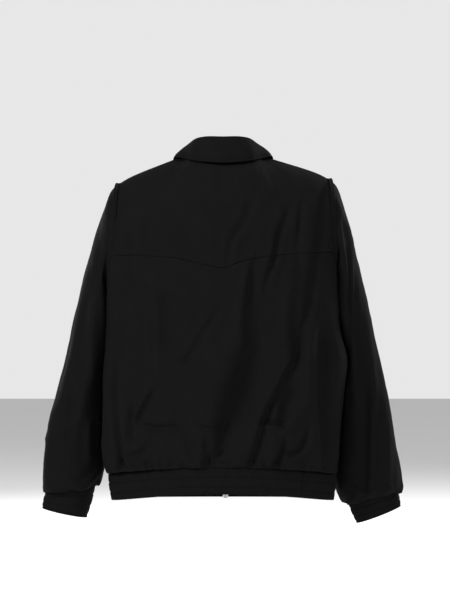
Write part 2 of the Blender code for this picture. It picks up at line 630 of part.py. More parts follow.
def armhole_turns(side):
    """Places down the back of the armhole shared by the body panels and the sleeve."""
    edge = np.array([SIDES[side]["sign"]])
    seam = float(yoke_level(edge)[0]) * pi
    upper = np.linspace(0.0, seam, YOKE_ROWS)
    lower = np.linspace(seam, pi, ARM_ROWS)[1:]
    return np.concatenate([upper, lower])


def front_levels():
    """Levels of the fronts' rows, down the armhole and then the side seam."""
    return np.concatenate([np.linspace(0.0, 1.0, FRONT_ARM_ROWS), side_levels()])


def side_levels():
    return 1 + np.linspace(0.0, 1.0, SIDE_ROWS + 1)[1:] ** ROW_BUNCHING


def columns(face, inner):
    """Places across from the inner end out to the edge, with one just where shoulder meets neck."""
    neck = NECK_SHARE[face]
    steps = NECK_STEPS[face] if face < 0 else NECK_STEPS[face] // 2
    middle = np.linspace(inner, neck, steps + 1)
    out = np.linspace(0.0, 1.0, SHOULDER_STEPS[face] + 1)[1:]
    return np.concatenate([middle, neck + (1 - neck) * out ** ROW_BUNCHING])


def back_columns():
    half = columns(1, 0.0)
    return np.concatenate([-half[:0:-1], half])


def set_edges(normal, across, level, face):
    """Give a panel's side columns the rim direction they share with their neighbours."""
    for column, side in ((0, "right"), (-1, "left")):
        if abs(across[column]) > 0.999:
            normal[:, column] = edge_normal(face, side, level[:, column])
    return normal


def add_yoke():
    across = back_columns()
    level = np.linspace(0.0, 1.0, YOKE_ROWS)[:, None] * yoke_level(across)[None, :]
    wide = np.broadcast_to(across, level.shape)
    outer, normal = draped(1, wide, level, BACK_FOLDS)
    normal = set_edges(normal, across, level, 1)
    shoulder = np.abs(across) > NECK_SHARE[1] - 1e-6
    normal[0, shoulder] = shoulder_normal(1, across[shoulder])
    normal[0, [0, -1]] = [seam_normal(side, np.zeros(1))[0] for side in ("right", "left")]
    outer = pull_in(outer, SEAM_GAP / 2, True, True, True, True)
    wall("back_yoke", outer, outer - normal * CLOTH, cloth)


def add_back():
    across = back_columns()
    seam = yoke_level(across)
    upper = seam[None, :] + np.linspace(0.0, 1.0, ARM_ROWS)[:, None] * (1 - seam)[None, :]
    lower = np.broadcast_to(side_levels()[:, None], (SIDE_ROWS, len(across)))
    level = np.concatenate([upper, lower])
    wide = np.broadcast_to(across, level.shape)
    outer, normal = draped(1, wide, level, BACK_FOLDS)
    normal = set_edges(normal, across, level, 1)
    outer = pull_in(outer, SEAM_GAP / 2, True, True, True, True)
    wall("back_body", outer, outer - normal * CLOTH, cloth)


def add_front(side):
    sign = SIDES[side]["sign"]
    level = front_levels()
    wide = sign * np.array([columns(-1, edge) for edge in front_edge_across(side, level)])
    level = np.broadcast_to(level[:, None], wide.shape)
    outer, normal = draped(-1, wide, level, FRONT_FOLDS)
    normal[:, -1] = edge_normal(-1, side, level[:, 0])
    shoulder = np.abs(wide[0]) > NECK_SHARE[-1] - 1e-6
    normal[0, shoulder] = shoulder_normal(-1, wide[0, shoulder])
    normal[0, -1] = seam_normal(side, np.zeros(1))[0]
    outer = pull_in(outer, SEAM_GAP / 2, True, True, False, True)
    wall(f"front_{side}", outer, outer - normal * CLOTH, cloth)
    return outer, normal


def front_edge_across(side, level):
    """Place across at which the front is FRONT_EDGE from the middle of the zip."""
    sign = SIDES[side]["sign"]
    steps = np.linspace(0.0, 0.2, 41)
    found = []
    for one in level:
        x = body(-1, sign * steps, np.full_like(steps, one))[:, 0] - ZIP_X
        found.append(np.interp(FRONT_EDGE, sign * x, steps))
    return np.array(found)


# ---------------------------------------------------------------- sleeves and cuffs
def add_sleeve(side):
    front = np.linspace(pi, 0.0, FRONT_ARM_ROWS)[1:-1]
    turns = np.concatenate([armhole_turns(side), -front])
    bag = SLEEVES[side]["along"] > BAG_STARTS
    along = np.concatenate([np.linspace(0.0, BAG_STARTS, SLEEVE_STEPS), SLEEVES[side]["along"][bag]])
    turn, share = np.meshgrid(turns, along)
    outer = sleeve(side, turn, share)
    normal = sleeve_normal(side, turn, share)
    degrees = np.degrees(turn)
    start, stop = SLEEVE_FOLDS_STOP
    keep = np.clip(share / SLEEVE_FOLDS_START, 0, 1) * np.clip((stop - share) / (stop - start), 0, 1)
    keep = keep * (1 - ease(np.abs(degrees), *SLEEVE_FOLDS_INSIDE))
    depth = crease_depth(scaled_folds(side), degrees / 90, share * 4, ("turn", "along")) * keep
    outer = outer - normal * depth[..., None]
    normal[0] = seam_normal(side, turns)
    outer = pull_in(outer, SEAM_GAP / 2, True, True)
    wall(f"sleeve_{side}", outer, outer - normal * CLOTH, cloth, around=True)


def scaled_folds(side):
    """Sleeve creases in quarter turns against quarter lengths, so that both run alike in metres."""
    folds = dict(SLEEVE_FOLDS[side])
    for part in ("start", "via", "end"):
        folds[f"{part}_turn"] = folds[f"{part}_turn"] / 90
        folds[f"{part}_along"] = folds[f"{part}_along"] * 4
    folds["width"] = folds["width"] / 90
    return folds


def cuff_point(side, turn, along):
    rows = CUFFS[side]
    at = {name: np.interp(along, rows["along"], rows[name]) for name in CUFF_COLUMNS[1:]}
    across = (1 + np.cos(turn)) / 2
    x = at["in_x"] + (at["out_x"] - at["in_x"]) * across
    z = at["in_z"] + (at["out_z"] - at["in_z"]) * across
    y = at["mid_y"] + at["half_depth"] * np.sin(turn)
    return np.stack([SIDES[side]["sign"] * x, y, z], -1)


def cuff_out(side, turn, along):
    """Direction away from the cuff's middle line."""
    centre = (cuff_point(side, turn, along) + cuff_point(side, turn + pi, along)) / 2
    return unit(cuff_point(side, turn, along) - centre)


def add_cuff(side):
    """Elastic cuff: upright waves on the outer skin over a plain inner skin."""
    turns = np.linspace(0.0, 2 * pi, CUFF_WAVES * 2, endpoint=False)
    wave = CUFF_WAVE_HEIGHT * (np.arange(len(turns)) % 2)
    turn, share = np.meshgrid(turns, np.linspace(0.0, 1.0, CUFF_LEVELS))
    swell = np.sin(pi * share) * CUFF_SWELL
    outer = cuff_point(side, turn, share) + cuff_out(side, turn, share) * (swell + wave)[..., None]
    turn, share = np.meshgrid(turns, np.array([0.0, 1.0]))
    inner = cuff_point(side, turn, share) - cuff_out(side, turn, share) * BAND
    for grid in (outer, inner):
        grid[0] += unit(grid[1] - grid[0]) * SEAM_GAP / 2
    wall(f"cuff_{side}", outer, inner, band, around=True)


# ---------------------------------------------------------------- waistband
def band_seam_z(across):
    """Height of the waist seam: it rides up at the middle of the back."""
    back = read(MIDDLE, "back_z", np.full_like(across, 2.0))
    front = read(MIDDLE, "front_z", np.full_like(across, 2.0))
    middle = np.where(np.cos(across) >= 0, back, front)
    return middle + (SIDE_WAIST_Z - middle) * np.sin(across) ** 2


def band_point(turn, drop):
    """Waistband: turn in radians from the middle of the back, drop 0 at the seam to 1 at the hem."""
    size = [(*BAND_HALF_WIDTH[row], *BAND_DEPTH[row]) for row in ("seam", "hem")]
    left, right, back, front = (np.interp(drop, (0, 1), pair) for pair in zip(*size))
    x = np.sin(turn) * np.where(np.sin(turn) >= 0, left, right)
    y = np.cos(turn) * np.where(np.cos(turn) >= 0, back, front)
    front_share = np.clip(-np.cos(turn), 0, 1)
    return np.stack([x + ZIP_X * front_share, y, band_seam_z(turn) - BAND_HEIGHT * drop], -1)


def band_out(turn):
    """Level direction square to the waistband at half its height."""
    step = 1e-3
    half = 0.5 * np.ones_like(turn)
    ahead = band_point(turn + step, half) - band_point(turn - step, half)
    ahead[..., 2] = 0.0
    return unit(np.cross(ahead, [0.0, 0.0, 1.0]))


def add_band(name, start, end, waves, edges=(True, True)):
    """A length of waistband between two turns in degrees, shirred by the given number of waves."""
    steps = max(2 * waves, 8)
    turns = np.radians(np.linspace(start, end, steps + 1))
    wave = BAND_WAVE_HEIGHT * (np.arange(steps + 1) % 2) * (waves > 0)
    turn, drop = np.meshgrid(turns, np.linspace(0.0, 1.0, BAND_LEVELS))
    lift = np.sin(pi * drop) * BAND_SWELL + wave
    outer = band_point(turn, drop) + band_out(turn) * lift[..., None]
    turn, drop = np.meshgrid(turns, np.array([0.0, 1.0]))
    inner = band_point(turn, drop) - band_out(turn) * BAND
    for grid in (outer, inner):
        pull_in(grid, SEAM_GAP / 2, True, False, edges[0], edges[1])
    wall(name, outer, inner, band)


def add_waistband():
    elastic = BAND_SIDE - BAND_JOIN
    front = 180 - np.degrees(np.arcsin(FRONT_EDGE / BAND_HALF_WIDTH["hem"][0]))
    add_band("waistband_back_left", BAND_JOIN, BAND_SIDE, round(elastic / BAND_WAVE))
    add_band("waistband_back_right", -BAND_SIDE, BAND_JOIN, round((BAND_SIDE + BAND_JOIN) / BAND_WAVE))
    add_band("waistband_front_left", BAND_SIDE, front, 0, (True, False))
    add_band("waistband_front_right", -front, -BAND_SIDE, 0, (False, True))


# ---------------------------------------------------------------- collar
def neck_seam(turn):
    """Neck seam by turn from the middle of the back, 0 to pi on the wearer's left."""
    face = np.where(np.cos(turn) >= 0, 1, -1)
    quarter = turn / (pi / 2)
    back = body(1, np.clip(quarter, -1, 1) * NECK_SHARE[1], np.zeros_like(turn))
    ahead = np.clip(2 - np.abs(quarter), 0, 1) * np.sign(turn)
    front = body(-1, ahead * NECK_SHARE[-1], np.zeros_like(turn))
    return np.where((face > 0)[..., None], back, front)


def collar_leaf_edge(sign):
    """Free edge of the leaf at each row of the collar's table, on the side of the given sign."""
    points = []
    for face, across, level, lift in zip(COLLAR["face"], COLLAR["across"], COLLAR["level"], COLLAR["lift"]):
        place = (face, np.array([sign * across]), np.array([level]))
        points.append((body(*place) + body_normal(*place) * lift)[0])
    return np.array(points)


def neck_normal(turn):
    """Outward direction of the panel at the neck seam."""
    quarter = turn / (pi / 2)
    level = np.zeros_like(turn)
    back = body_normal(1, np.clip(quarter, -1, 1) * NECK_SHARE[1], level)
    ahead = np.clip(2 - np.abs(quarter), 0, 1) * np.sign(turn) * NECK_SHARE[-1]
    front = body_normal(-1, ahead, level)
    corner = (np.abs(np.cos(turn)) < 1e-6)[..., None]
    own = np.where((np.cos(turn) >= 0)[..., None], back, front)
    return np.where(corner, unit(back + front), own)


def collar_section(turn):
    """Middle line of the collar at one turn: up from the neck seam, over the fold, down the leaf."""
    degrees = abs(np.degrees(turn))
    sign = 1.0 if turn >= 0 else -1.0
    mirror = np.array([sign, 1.0, 1.0])
    fold = mirror * [read(COLLAR, f"fold_{axis}", degrees, "turn") for axis in "xyz"]
    leaf = np.array([smooth(degrees, COLLAR["turn"], column) for column in collar_leaf_edge(sign).T])
    around = np.array([turn - 0.01, turn, turn + 0.01])
    before, seam, after = neck_seam(around)
    panel = neck_normal(np.array([turn]))[0]
    away = unit(np.cross(panel, after - before))
    foot = seam - away * COLLAR_GAP - panel * COLLAR_CLOTH / 2
    top = unit(fold - foot)
    radial = unit((fold - np.array([0.0, -0.02, fold[2]])))
    out = unit(radial - top * np.dot(radial, top))
    inner_top = fold - (top + out) * COLLAR_FOLD
    outer_top = fold - (top - out) * COLLAR_FOLD
    base = foot - away * COLLAR_TURN["in"] + unit(inner_top - foot) * COLLAR_TURN["up"]
    lower = leaf - outer_top
    bow = out * COLLAR_BOW
    return np.array([foot, base, base + (inner_top - base) * 0.55, inner_top, fold, outer_top,
                     outer_top + lower * 0.33 + bow, outer_top + lower * 0.68 + bow, leaf])


def collar_turns():
    """The collar's columns, each at a column of the panel that it is sewn to."""
    back = back_columns() / NECK_SHARE[1] * pi / 2
    back = back[np.abs(back) < pi / 2 + 1e-6]
    ends = []
    for side in SIDES:
        edge = front_edge_across(side, np.zeros(1))[0]
        across = columns(-1, edge)[:NECK_STEPS[-1]]
        ends.append(pi - across / NECK_SHARE[-1] * pi / 2)
    left, right = ends
    return np.concatenate([-right, back, left[::-1]])


def add_collar():
    """One folded piece: its stand inside the neck, its leaf turned down over the shoulders."""
    turns = collar_turns()
    middle = np.array([collar_section(turn) for turn in turns]).transpose(1, 0, 2)
    down = np.gradient(middle, axis=0)
    wide = np.gradient(middle, axis=1)
    outward = unit(np.cross(down, wide))
    outward[0] = neck_normal(turns)
    half = outward * COLLAR_CLOTH / 2
    wall("collar", middle + half, middle - half, cloth)


# ---------------------------------------------------------------- zip
def front_middle(level):
    """Middle of the front opening, outer side, and the direction it faces."""
    across = np.zeros_like(level)
    normal = body_normal(-1, across, level)
    normal[..., 0] = 0.0
    return body(-1, across, level), unit(normal)


def beside_zip(grid, normal, distance):
    """Line on a front, or past its edge, at a distance from the middle of the zip."""
    reach = grid[:, 1] - grid[:, 0]
    share = (distance - FRONT_EDGE) / np.abs(reach[:, :1])
    return grid[:, 0] + reach * share, unit(normal[:, 0] + (normal[:, 1] - normal[:, 0]) * share)


def add_tape(side, grid, normal):
    """Tape behind a front's edge, from the neck down to the zip's box."""
    low_z = band_point(np.array([pi]), np.array([1.0]))[0, 2] + BOX["above"] + SEAM_GAP
    lines = []
    for distance in (TAPE_INNER, TAPE_OUTER):
        line, face = beside_zip(grid[:-1], normal[:-1], distance)
        line = line - face * (CLOTH + SEAM_GAP)
        band_line = band_point(np.full(2, pi), np.array([0.15, 1.0]))
        band_line[:, 0] += SIDES[side]["sign"] * distance
        band_line[:, 1] += BAND + SEAM_GAP + TAPE_BAND_ROOM
        band_line[1, 2] = low_z
        face = np.concatenate([face, np.tile([0.0, -1.0, 0.0], (2, 1))])
        lines.append((np.concatenate([line, band_line]), face))
    outer = np.stack([line for line, face in lines], 1)
    normals = np.stack([face for line, face in lines], 1)
    wall(f"zip_tape_{side}", outer, outer - normals * TAPE, tape)
    return lines[0]


def add_chain(left, right):
    """Closed chain of teeth between the tapes' inner edges; single teeth are left to the looks."""
    first = int(np.argmax(front_levels() > CHAIN_TOP + 0.01))
    middle = (left[0][first:] + right[0][first:]) / 2
    face = unit(left[1][first:] + right[1][first:])
    sides = np.array([[-CHAIN_HALF, 0.0, 0.0], [CHAIN_HALF, 0.0, 0.0]])
    back = middle[:, None] + sides + face[:, None] * SEAM_GAP
    wall("zip_chain", back + face[:, None] * CHAIN_THICK, back, metal)


def block(name, size, place, where, look=None):
    """Box of the given size at a place, in the jacket or among the cutters."""
    bpy.ops.mesh.primitive_cube_add(size=1.0, location=place)
    made = bpy.context.object
    made.name = name
    made.data.name = name
    made.data.transform(Matrix.Diagonal((*size, 1.0)))
    for old in list(made.users_collection):
        old.objects.unlink(made)
    where.objects.link(made)
    if look:
        made.data.materials.append(look)
    return made


def rod(name, radius, length, place, sides=16):
    """Cylinder along X among the cutters."""
    bpy.ops.mesh.primitive_cylinder_add(radius=radius, depth=length, vertices=sides, location=place,
                                        rotation=(0.0, pi / 2, 0.0))
    made = bpy.context.object
    made.name = name
    for old in list(made.users_collection):
        old.objects.unlink(made)
    cutters.objects.link(made)
    return made


def combine(target, tool, operation):
    change = target.modifiers.new(tool.name, "BOOLEAN")
    change.object = tool
    change.operation = operation
    change.solver = "EXACT"


def pull_pivot():
    """Centre of the tab's pin, in front of the slider."""
    point, face = front_middle(np.array([CHAIN_TOP]))
    front = point[0] - face[0] * CLOTH + np.array([0.0, -CHAIN_THICK - 3 * SEAM_GAP, 0.0])
    return front + np.array([0.0, -SLIDER["plate"] - LUG["radius"] - LUG["clear"], -0.001])


def add_slider():
    """Two plates joined by a post between the tapes, with two lugs and the tab's pin in front."""
    point, face = front_middle(np.array([CHAIN_TOP]))
    x, y, z = point[0]
    pivot = pull_pivot()
    plate_front = pivot[1] + LUG["radius"] + LUG["clear"]
    slider = block("zip_slider", (SLIDER["width"], SLIDER["plate"], SLIDER["length"]),
                   (x, plate_front + SLIDER["plate"] / 2, z), jacket, metal)
    back_y = y + CLOTH + SEAM_GAP + TAPE + SLIDER["behind"]
    back = block("slider_back", (SLIDER["width"] * 0.9, SLIDER["plate"], SLIDER["length"]),
                 (x, back_y + SLIDER["plate"] / 2, z), cutters)
    depth = back_y - plate_front
    post = block("slider_post", (POST["width"], depth, POST["height"]),
                 (x, plate_front + (depth + SLIDER["plate"]) / 2, z + POST["up"]), cutters)
    combine(slider, back, "UNION")
    combine(slider, post, "UNION")
    for hand in (-1, 1):
        side_x = x + hand * (LUG["gap"] + LUG["thick"]) / 2
        lug = block(f"slider_lug_{hand}", (LUG["thick"], LUG["depth"], LUG["height"]),
                    (side_x, plate_front - LUG["depth"] / 2 + LUG["root"], pivot[2]), cutters)
        combine(slider, lug, "UNION")
    pin = rod("slider_pin", PIN_RADIUS, LUG["gap"] + LUG["thick"], pivot)
    combine(slider, pin, "UNION")


def add_pull():
    """Flat tab that hangs from a knuckle round the slider's pin."""
    pivot = pull_pivot()
    tab = bpy.data.curves.new("zip_pull", "CURVE")
    half, neck, low = TAB["width"] / 2, TAB["neck"] / 2, TAB["length"]
    corner, shoulder = TAB["corner"], TAB["shoulder"]
    right = [(neck, 0.0), (neck, -TAB["neck_end"]), (half, -shoulder), (half, -low + corner),
             (half - corner, -low)]
    outline = [(-x, z) for x, z in right] + right[::-1]
    tab.dimensions = "2D"
    tab.fill_mode = "BOTH"
    tab.extrude = TAB["thick"] / 2
    line = tab.splines.new("POLY")
    line.points.add(len(outline) - 1)
    for spot, (x, z) in zip(line.points, outline):
        spot.co = (x, z, 0.0, 1.0)
    line.use_cyclic_u = True
    flat = bpy.data.objects.new("tab_outline", tab)
    cutters.objects.link(flat)
    bpy.context.view_layer.update()
    mesh = bpy.data.meshes.new_from_object(flat.evaluated_get(bpy.context.evaluated_depsgraph_get()))
    bpy.data.objects.remove(flat, do_unlink=True)
    work = bmesh.new()
    work.from_mesh(mesh)
    bmesh.ops.remove_doubles(work, verts=work.verts, dist=0.00001)
    bmesh.ops.recalc_face_normals(work, faces=work.faces)
    work.to_mesh(mesh)
    work.free()
    made = bpy.data.objects.new("zip_pull", mesh)
    made.rotation_euler = (pi / 2, 0.0, 0.0)
    made.location = pivot
    jacket.objects.link(made)
    mesh.materials.append(metal)
    knuckle = rod("tab_knuckle", LUG["radius"], TAB["neck"], pivot)
    hole = rod("tab_hole", TAB["hole"], 0.01, pivot)
    combine(made, knuckle, "UNION")
    combine(made, hole, "DIFFERENCE")


def add_box():
    """Bottom box of the zip, whose end shows below the back hem."""
    point = band_point(np.array([pi]), np.array([1.0]))[0]
    y = point[1] + BAND + SEAM_GAP - BOX["forward"]
    made = block("zip_box", (BOX["width"], BOX["thick"], BOX["height"]),
                 (point[0], y, point[2] + BOX["above"] - BOX["height"] / 2), jacket, metal)
    edge = made.modifiers.new("edge", "BEVEL")
    edge.width = BOX["rounding"]
    edge.segments = 2


# ---------------------------------------------------------------- build
clear_scene()
jacket = new_collection("bomber_jacket")
cutters = new_collection("cutters")
cloth = material("cloth", CLOTH_COLOUR, 0.80)
band = material("band", BAND_COLOUR, 0.82)
tape = material("tape", TAPE_COLOUR, 0.85)
metal = material("metal", METAL_COLOUR, 0.35, 1.0)

add_yoke()
add_back()
tapes = [add_tape(hand, *add_front(hand)) for hand in SIDES]
add_chain(*tapes)
for hand in SIDES:
    add_sleeve(hand)
    add_cuff(hand)
add_waistband()
add_collar()
add_slider()
add_pull()
add_box()
for tool in cutters.objects:
    tool.hide_render = True
    tool.display_type = "WIRE"
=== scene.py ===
"""Looks of the bomber jacket: near-black woven cloth, filled out with no wearer.

Metres, +Z up, front towards -Y, the wearer's left at +X, origin at the middle of the back neck seam.
"""
from math import pi

import bpy
import numpy as np
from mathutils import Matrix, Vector


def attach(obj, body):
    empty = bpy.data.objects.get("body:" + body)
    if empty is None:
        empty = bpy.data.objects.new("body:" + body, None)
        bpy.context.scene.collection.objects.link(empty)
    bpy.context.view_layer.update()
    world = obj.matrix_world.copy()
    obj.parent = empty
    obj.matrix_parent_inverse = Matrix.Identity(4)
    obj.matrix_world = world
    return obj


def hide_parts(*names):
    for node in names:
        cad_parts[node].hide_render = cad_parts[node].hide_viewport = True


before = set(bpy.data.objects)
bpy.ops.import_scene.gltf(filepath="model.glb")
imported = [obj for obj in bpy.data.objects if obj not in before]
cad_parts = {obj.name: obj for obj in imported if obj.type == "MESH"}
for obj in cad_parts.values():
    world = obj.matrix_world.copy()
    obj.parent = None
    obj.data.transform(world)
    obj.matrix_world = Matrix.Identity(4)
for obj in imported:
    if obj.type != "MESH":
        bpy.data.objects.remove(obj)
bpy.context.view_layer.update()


# ------------------------------------------------------------------ view, floor and light
# The jacket is seen level from behind, over a pale floor. A long lens five metres away spans the
# photo's height, and broad soft lights stand round the jacket, so that every side is lit alike.
PHOTO_HEIGHT = 600                      # pixels
METRES_PER_PIXEL = 0.00205              # at the jacket's middle
VIEW_DISTANCE = 5.0
VIEW_CENTRE = Vector((-0.004, 0.0, -0.281))
SENSOR = 36.0                           # mm
FLOOR_Z = -1.05
FLOOR_HALF = 14.0
PALE = (0.92, 0.92, 0.92, 1.0)
WHITE = (1.0, 1.0, 1.0, 1.0)
BACKDROP = (0.8, 0.8, 0.8, 1.0)
AMBIENT = 0.48
LAMPS = (                               # name, place, width and watts
    ("key_back", (3.0, 2.6, 1.5), 1.3, 200.0),
    ("fill_back", (-2.4, 3.4, 0.6), 1.6, 90.0),
    ("key_front", (-3.0, -2.6, 1.5), 1.3, 200.0),
    ("fill_front", (2.4, -3.4, 0.6), 1.6, 90.0),
    ("top", (0.0, 0.3, 2.4), 1.4, 40.0),
)


class Socket:
    """A shader output that Python's operators join with Math nodes."""

    def __init__(self, nodes, output):
        self.nodes = nodes
        self.output = output

    def maths(self, operation, other=0.0):
        """This output and a number or another output, through one Math node."""
        return self.nodes.node("ShaderNodeMath", {0: self, 1: other}, operation=operation)

    def __add__(self, other):
        return self.maths("ADD", other)

    def __mul__(self, other):
        return self.maths("MULTIPLY", other)

    def __sub__(self, other):
        return self.maths("SUBTRACT", other)

    def __rsub__(self, other):
        return self.maths("MULTIPLY", -1.0) + other

    __radd__ = __add__
    __rmul__ = __mul__


class Nodes:
    """The nodes of a world or a material; node() adds any kind of them."""

    def __init__(self, owner):
        owner.use_nodes = True
        self.tree = owner.node_tree

    def node(self, kind, inputs, output=0, **settings):
        """A node of one kind: its settings first, then its sockets' values or links."""
        made = self.tree.nodes.new(kind)
        for name, value in settings.items():
            setattr(made, name, value)
        for name, value in inputs.items():
            self.feed(made.inputs[name], value)
        return Socket(self, made.outputs[output])

    def feed(self, socket, value):
        if isinstance(value, Socket):
            self.tree.links.new(value.output, socket)
        else:
            socket.default_value = value


class Look(Nodes):
    """A material on the Principled shader, with the sockets that stay the same all over."""

    def __init__(self, name, **fixed):
        self.material = bpy.data.materials.new(name)
        super().__init__(self.material)
        self.shader = self.tree.nodes["Principled BSDF"]
        for socket, value in fixed.items():
            self.vary(socket, value)

    def vary(self, socket, value):
        """Give one of the shader's sockets a value, or an output that changes over the surface."""
        self.feed(self.shader.inputs[socket.replace("_", " ")], value)

    def mix(self, share, first, second):
        return self.node("ShaderNodeMix", {0: share, 6: first, 7: second}, 2, data_type="RGBA")

    def noise(self, place, scale, detail=2.0):
        return self.node("ShaderNodeTexNoise", {"Vector": place, "Scale": scale, "Detail": detail})

    def bump(self, height, distance, normal=None):
        inputs = {"Height": height, "Distance": distance, "Strength": 1.0}
        if normal:
            inputs["Normal"] = normal
        return self.node("ShaderNodeBump", inputs)


def add_camera():
    """Camera behind the jacket whose picture spans the photo's height at the jacket's middle."""
    lens = bpy.data.cameras.new("photo_view")
    lens.sensor_width = SENSOR
    lens.lens = SENSOR * VIEW_DISTANCE / (PHOTO_HEIGHT * METRES_PER_PIXEL)
    camera = bpy.data.objects.new("photo_view", lens)
    camera.location = VIEW_CENTRE + Vector((0.0, VIEW_DISTANCE, 0.0))
    camera.rotation_euler = (pi / 2, 0.0, pi)
    bpy.context.scene.collection.objects.link(camera)
    bpy.context.scene.camera = camera


def add_floor():
    """One wide square below the jacket."""
    corners = [(x * FLOOR_HALF, y * FLOOR_HALF, FLOOR_Z) for x, y in ((-1, -1), (1, -1), (1, 1), (-1, 1))]
    mesh = bpy.data.meshes.new("floor")
    mesh.from_pydata(corners, [], [(0, 1, 2, 3)])
    mesh.materials.append(Look("floor_paint", Base_Color=PALE, Roughness=0.9).material)
    floor = bpy.data.objects.new("floor", mesh)
    bpy.context.scene.collection.objects.link(floor)


def add_softbox(name, place, size, watts):
    """Square area light that faces the jacket's middle."""
    lamp = bpy.data.lights.new(name, "AREA")
    lamp.size = size
    lamp.energy = watts
    holder = bpy.data.objects.new(name, lamp)
    holder.location = place
    holder.rotation_euler = (VIEW_CENTRE - Vector(place)).to_track_quat("-Z", "Y").to_euler()
    bpy.context.scene.collection.objects.link(holder)


def add_room():
    """Even light that is weak on the jacket, and a pale backdrop to the camera."""
    world = bpy.data.worlds.new("pale_room")
    room = Nodes(world)
    dim = room.tree.nodes["Background"]
    room.feed(dim.inputs["Color"], WHITE)
    room.feed(dim.inputs["Strength"], AMBIENT)
    backdrop = room.node("ShaderNodeBackground", {"Color": BACKDROP})
    to_camera = room.node("ShaderNodeLightPath", {})
    mixed = room.node("ShaderNodeMixShader", {0: to_camera, 1: Socket(room, dim.outputs[0]), 2: backdrop})
    room.feed(room.tree.nodes["World Output"].inputs["Surface"], mixed)
    bpy.context.scene.world = world


add_camera()
add_floor()
add_room()
for lamp in LAMPS:
    add_softbox(*lamp)
bpy.context.scene.view_settings.view_transform = "Standard"


# ------------------------------------------------------------------ the cloth
# A fine, lightly crisp plain weave in near-black yarn with a soft sheen. The same cloth makes body,
# sleeves, collar and bands. Its weave runs with each piece's cut, kept in metres on a UV map.
YARN = 0.00042                          # one yarn to the next
YARN_HEIGHT = 0.00005
RUMPLE_HEIGHT = 0.0009
SLUBS = 420.0                           # noise scales, by the metre
RUMPLES = 62.0
MOTTLES = 16.0
MOTTLING = 0.14                         # how far the tone strays to each side
CLOTH_TONE = (0.0042, 0.0042, 0.0043)
RUBBED_TONE = (0.0047, 0.0047, 0.0048, 1.0)
CLOTH_WALL = 0.0015
SPARSE = 3                              # inner skins keep every third row and column


def woven(name, tone, rub_and_highlight_tone, roughness, gloss):
    """Plain weave: yarns of a sine's height pass over and under one another on a checkerboard. Noise
    mottles its tone, and a second tone shows where a point attribute says so: rubbed cloth beside the
    seams of the body's pieces, and a painted highlight on the crests of the shirred bands' pleats."""
    look = Look(name, IOR=gloss)
    cut = look.node("ShaderNodeUVMap", {}, uv_map="cut")
    u = look.node("ShaderNodeSeparateXYZ", {0: cut}) * (1 / YARN)
    v = look.node("ShaderNodeSeparateXYZ", {0: cut}, 1) * (1 / YARN)
    over = (u.maths("FLOOR") + v.maths("FLOOR")).maths("MODULO", 2.0).maths("ABSOLUTE")
    warp = (u * pi).maths("SINE").maths("ABSOLUTE")
    weft = (v * pi).maths("SINE").maths("ABSOLUTE")
    weave = over * warp + (1.0 - over) * weft
    slub = look.noise(cut, SLUBS, 3.0)
    mottle = look.noise(cut, MOTTLES, 4.0)
    # The point attribute: rubbed seams on the body's cloth, and on the shirred bands a mask that paints a
    # highlight on the pleats' crests.
    worn = look.node("ShaderNodeAttribute", {}, 2, attribute_name="worn")
    dark, light = ((*(part * (1 + stray) for part in tone), 1.0) for stray in (-MOTTLING, MOTTLING))
    plain = look.mix(mottle, dark, light)
    look.vary("Base Color", look.mix(worn * (0.4 + mottle * 0.5), plain, rub_and_highlight_tone))
    look.vary("Roughness", roughness - 0.05 + mottle * 0.10)
    rumple = look.bump(look.noise(cut, RUMPLES, 3.0), RUMPLE_HEIGHT)
    look.vary("Normal", look.bump(weave + slub * 0.6, YARN_HEIGHT, rumple))
    return look.material


cloth_look = woven("black_cloth", CLOTH_TONE, RUBBED_TONE, 0.80, 1.06)


def table(columns, *rows):
    """Rows of numbers as one array for each named column."""
    return dict(zip(columns, np.array(rows, float).T))


def unit(vectors):
    """Vectors divided by their lengths."""
    return vectors / np.maximum(np.linalg.norm(vectors, axis=-1, keepdims=True), 1e-12)


def ease(value, start, end):
    """0 before start and 1 after end, level at both."""
    part = np.clip((value - start) / (end - start), 0.0, 1.0)
    return part * part * (3 - 2 * part)


def smooth(at, keys, values):
    """Cubic curve through a table's column, level with its neighbours at each row."""
    at = np.clip(at, keys[0], keys[-1])
    slope = np.gradient(values, keys)
    row = np.clip(np.searchsorted(keys, at, side="right") - 1, 0, len(keys) - 2)
    step = keys[row + 1] - keys[row]
    part = (at - keys[row]) / step
    rise = part * part * (3 - 2 * part)
    bend = slope[row] * part * (1 - part) ** 2 + slope[row + 1] * part * part * (part - 1)
    return values[row] * (1 - rise) + values[row + 1] * rise + step * bend


def read(rows, column, at, key="level"):
    """One of a table's columns, by its smooth curve."""
    return smooth(at, rows[key], rows[column])


def outward(grid, around=False):
    """Direction square to a grid: the cross product of its steps along rows and down columns."""
    if around:
        wide = np.roll(grid, -1, 1) - np.roll(grid, 1, 1)
    else:
        wide = np.gradient(grid, axis=1)
    return unit(np.cross(wide, np.gradient(grid, axis=0)))


def from_end(grid, axis, last):
    """Distance of each point from the grid's first or last row (axis 0) or column (axis 1)."""
    steps = np.linalg.norm(np.diff(grid, axis=axis), axis=-1)
    run = np.insert(np.cumsum(steps, axis=axis), 0, 0.0, axis=axis)
    return np.take(run, [-1], axis=axis) - run if last else run


def spaced(count, ends=0.5):
    """0 to 1 in count places, closer at both ends: a straight line less one turn of a sine."""
    part = np.linspace(0.0, 1.0, count)
    return part - (1 - ends) * np.sin(2 * pi * part) / (2 * pi)


def noise(u, v, size, seed):
    """Smooth noise between -1 and 1: random values on a square lattice, eased from one to the next."""
    lattice = np.random.default_rng(seed).uniform(-1.0, 1.0, (64, 64))
    i, j = np.floor(u / size).astype(int), np.floor(v / size).astype(int)
    s, t = ease(u / size - i, 0, 1), ease(v / size - j, 0, 1)
    i, j, k, m = i % 64, j % 64, (i + 1) % 64, (j + 1) % 64
    low = lattice[i, j] * (1 - s) + lattice[k, j] * s
    high = lattice[i, m] * (1 - s) + lattice[k, m] * s
    return low * (1 - t) + high * t


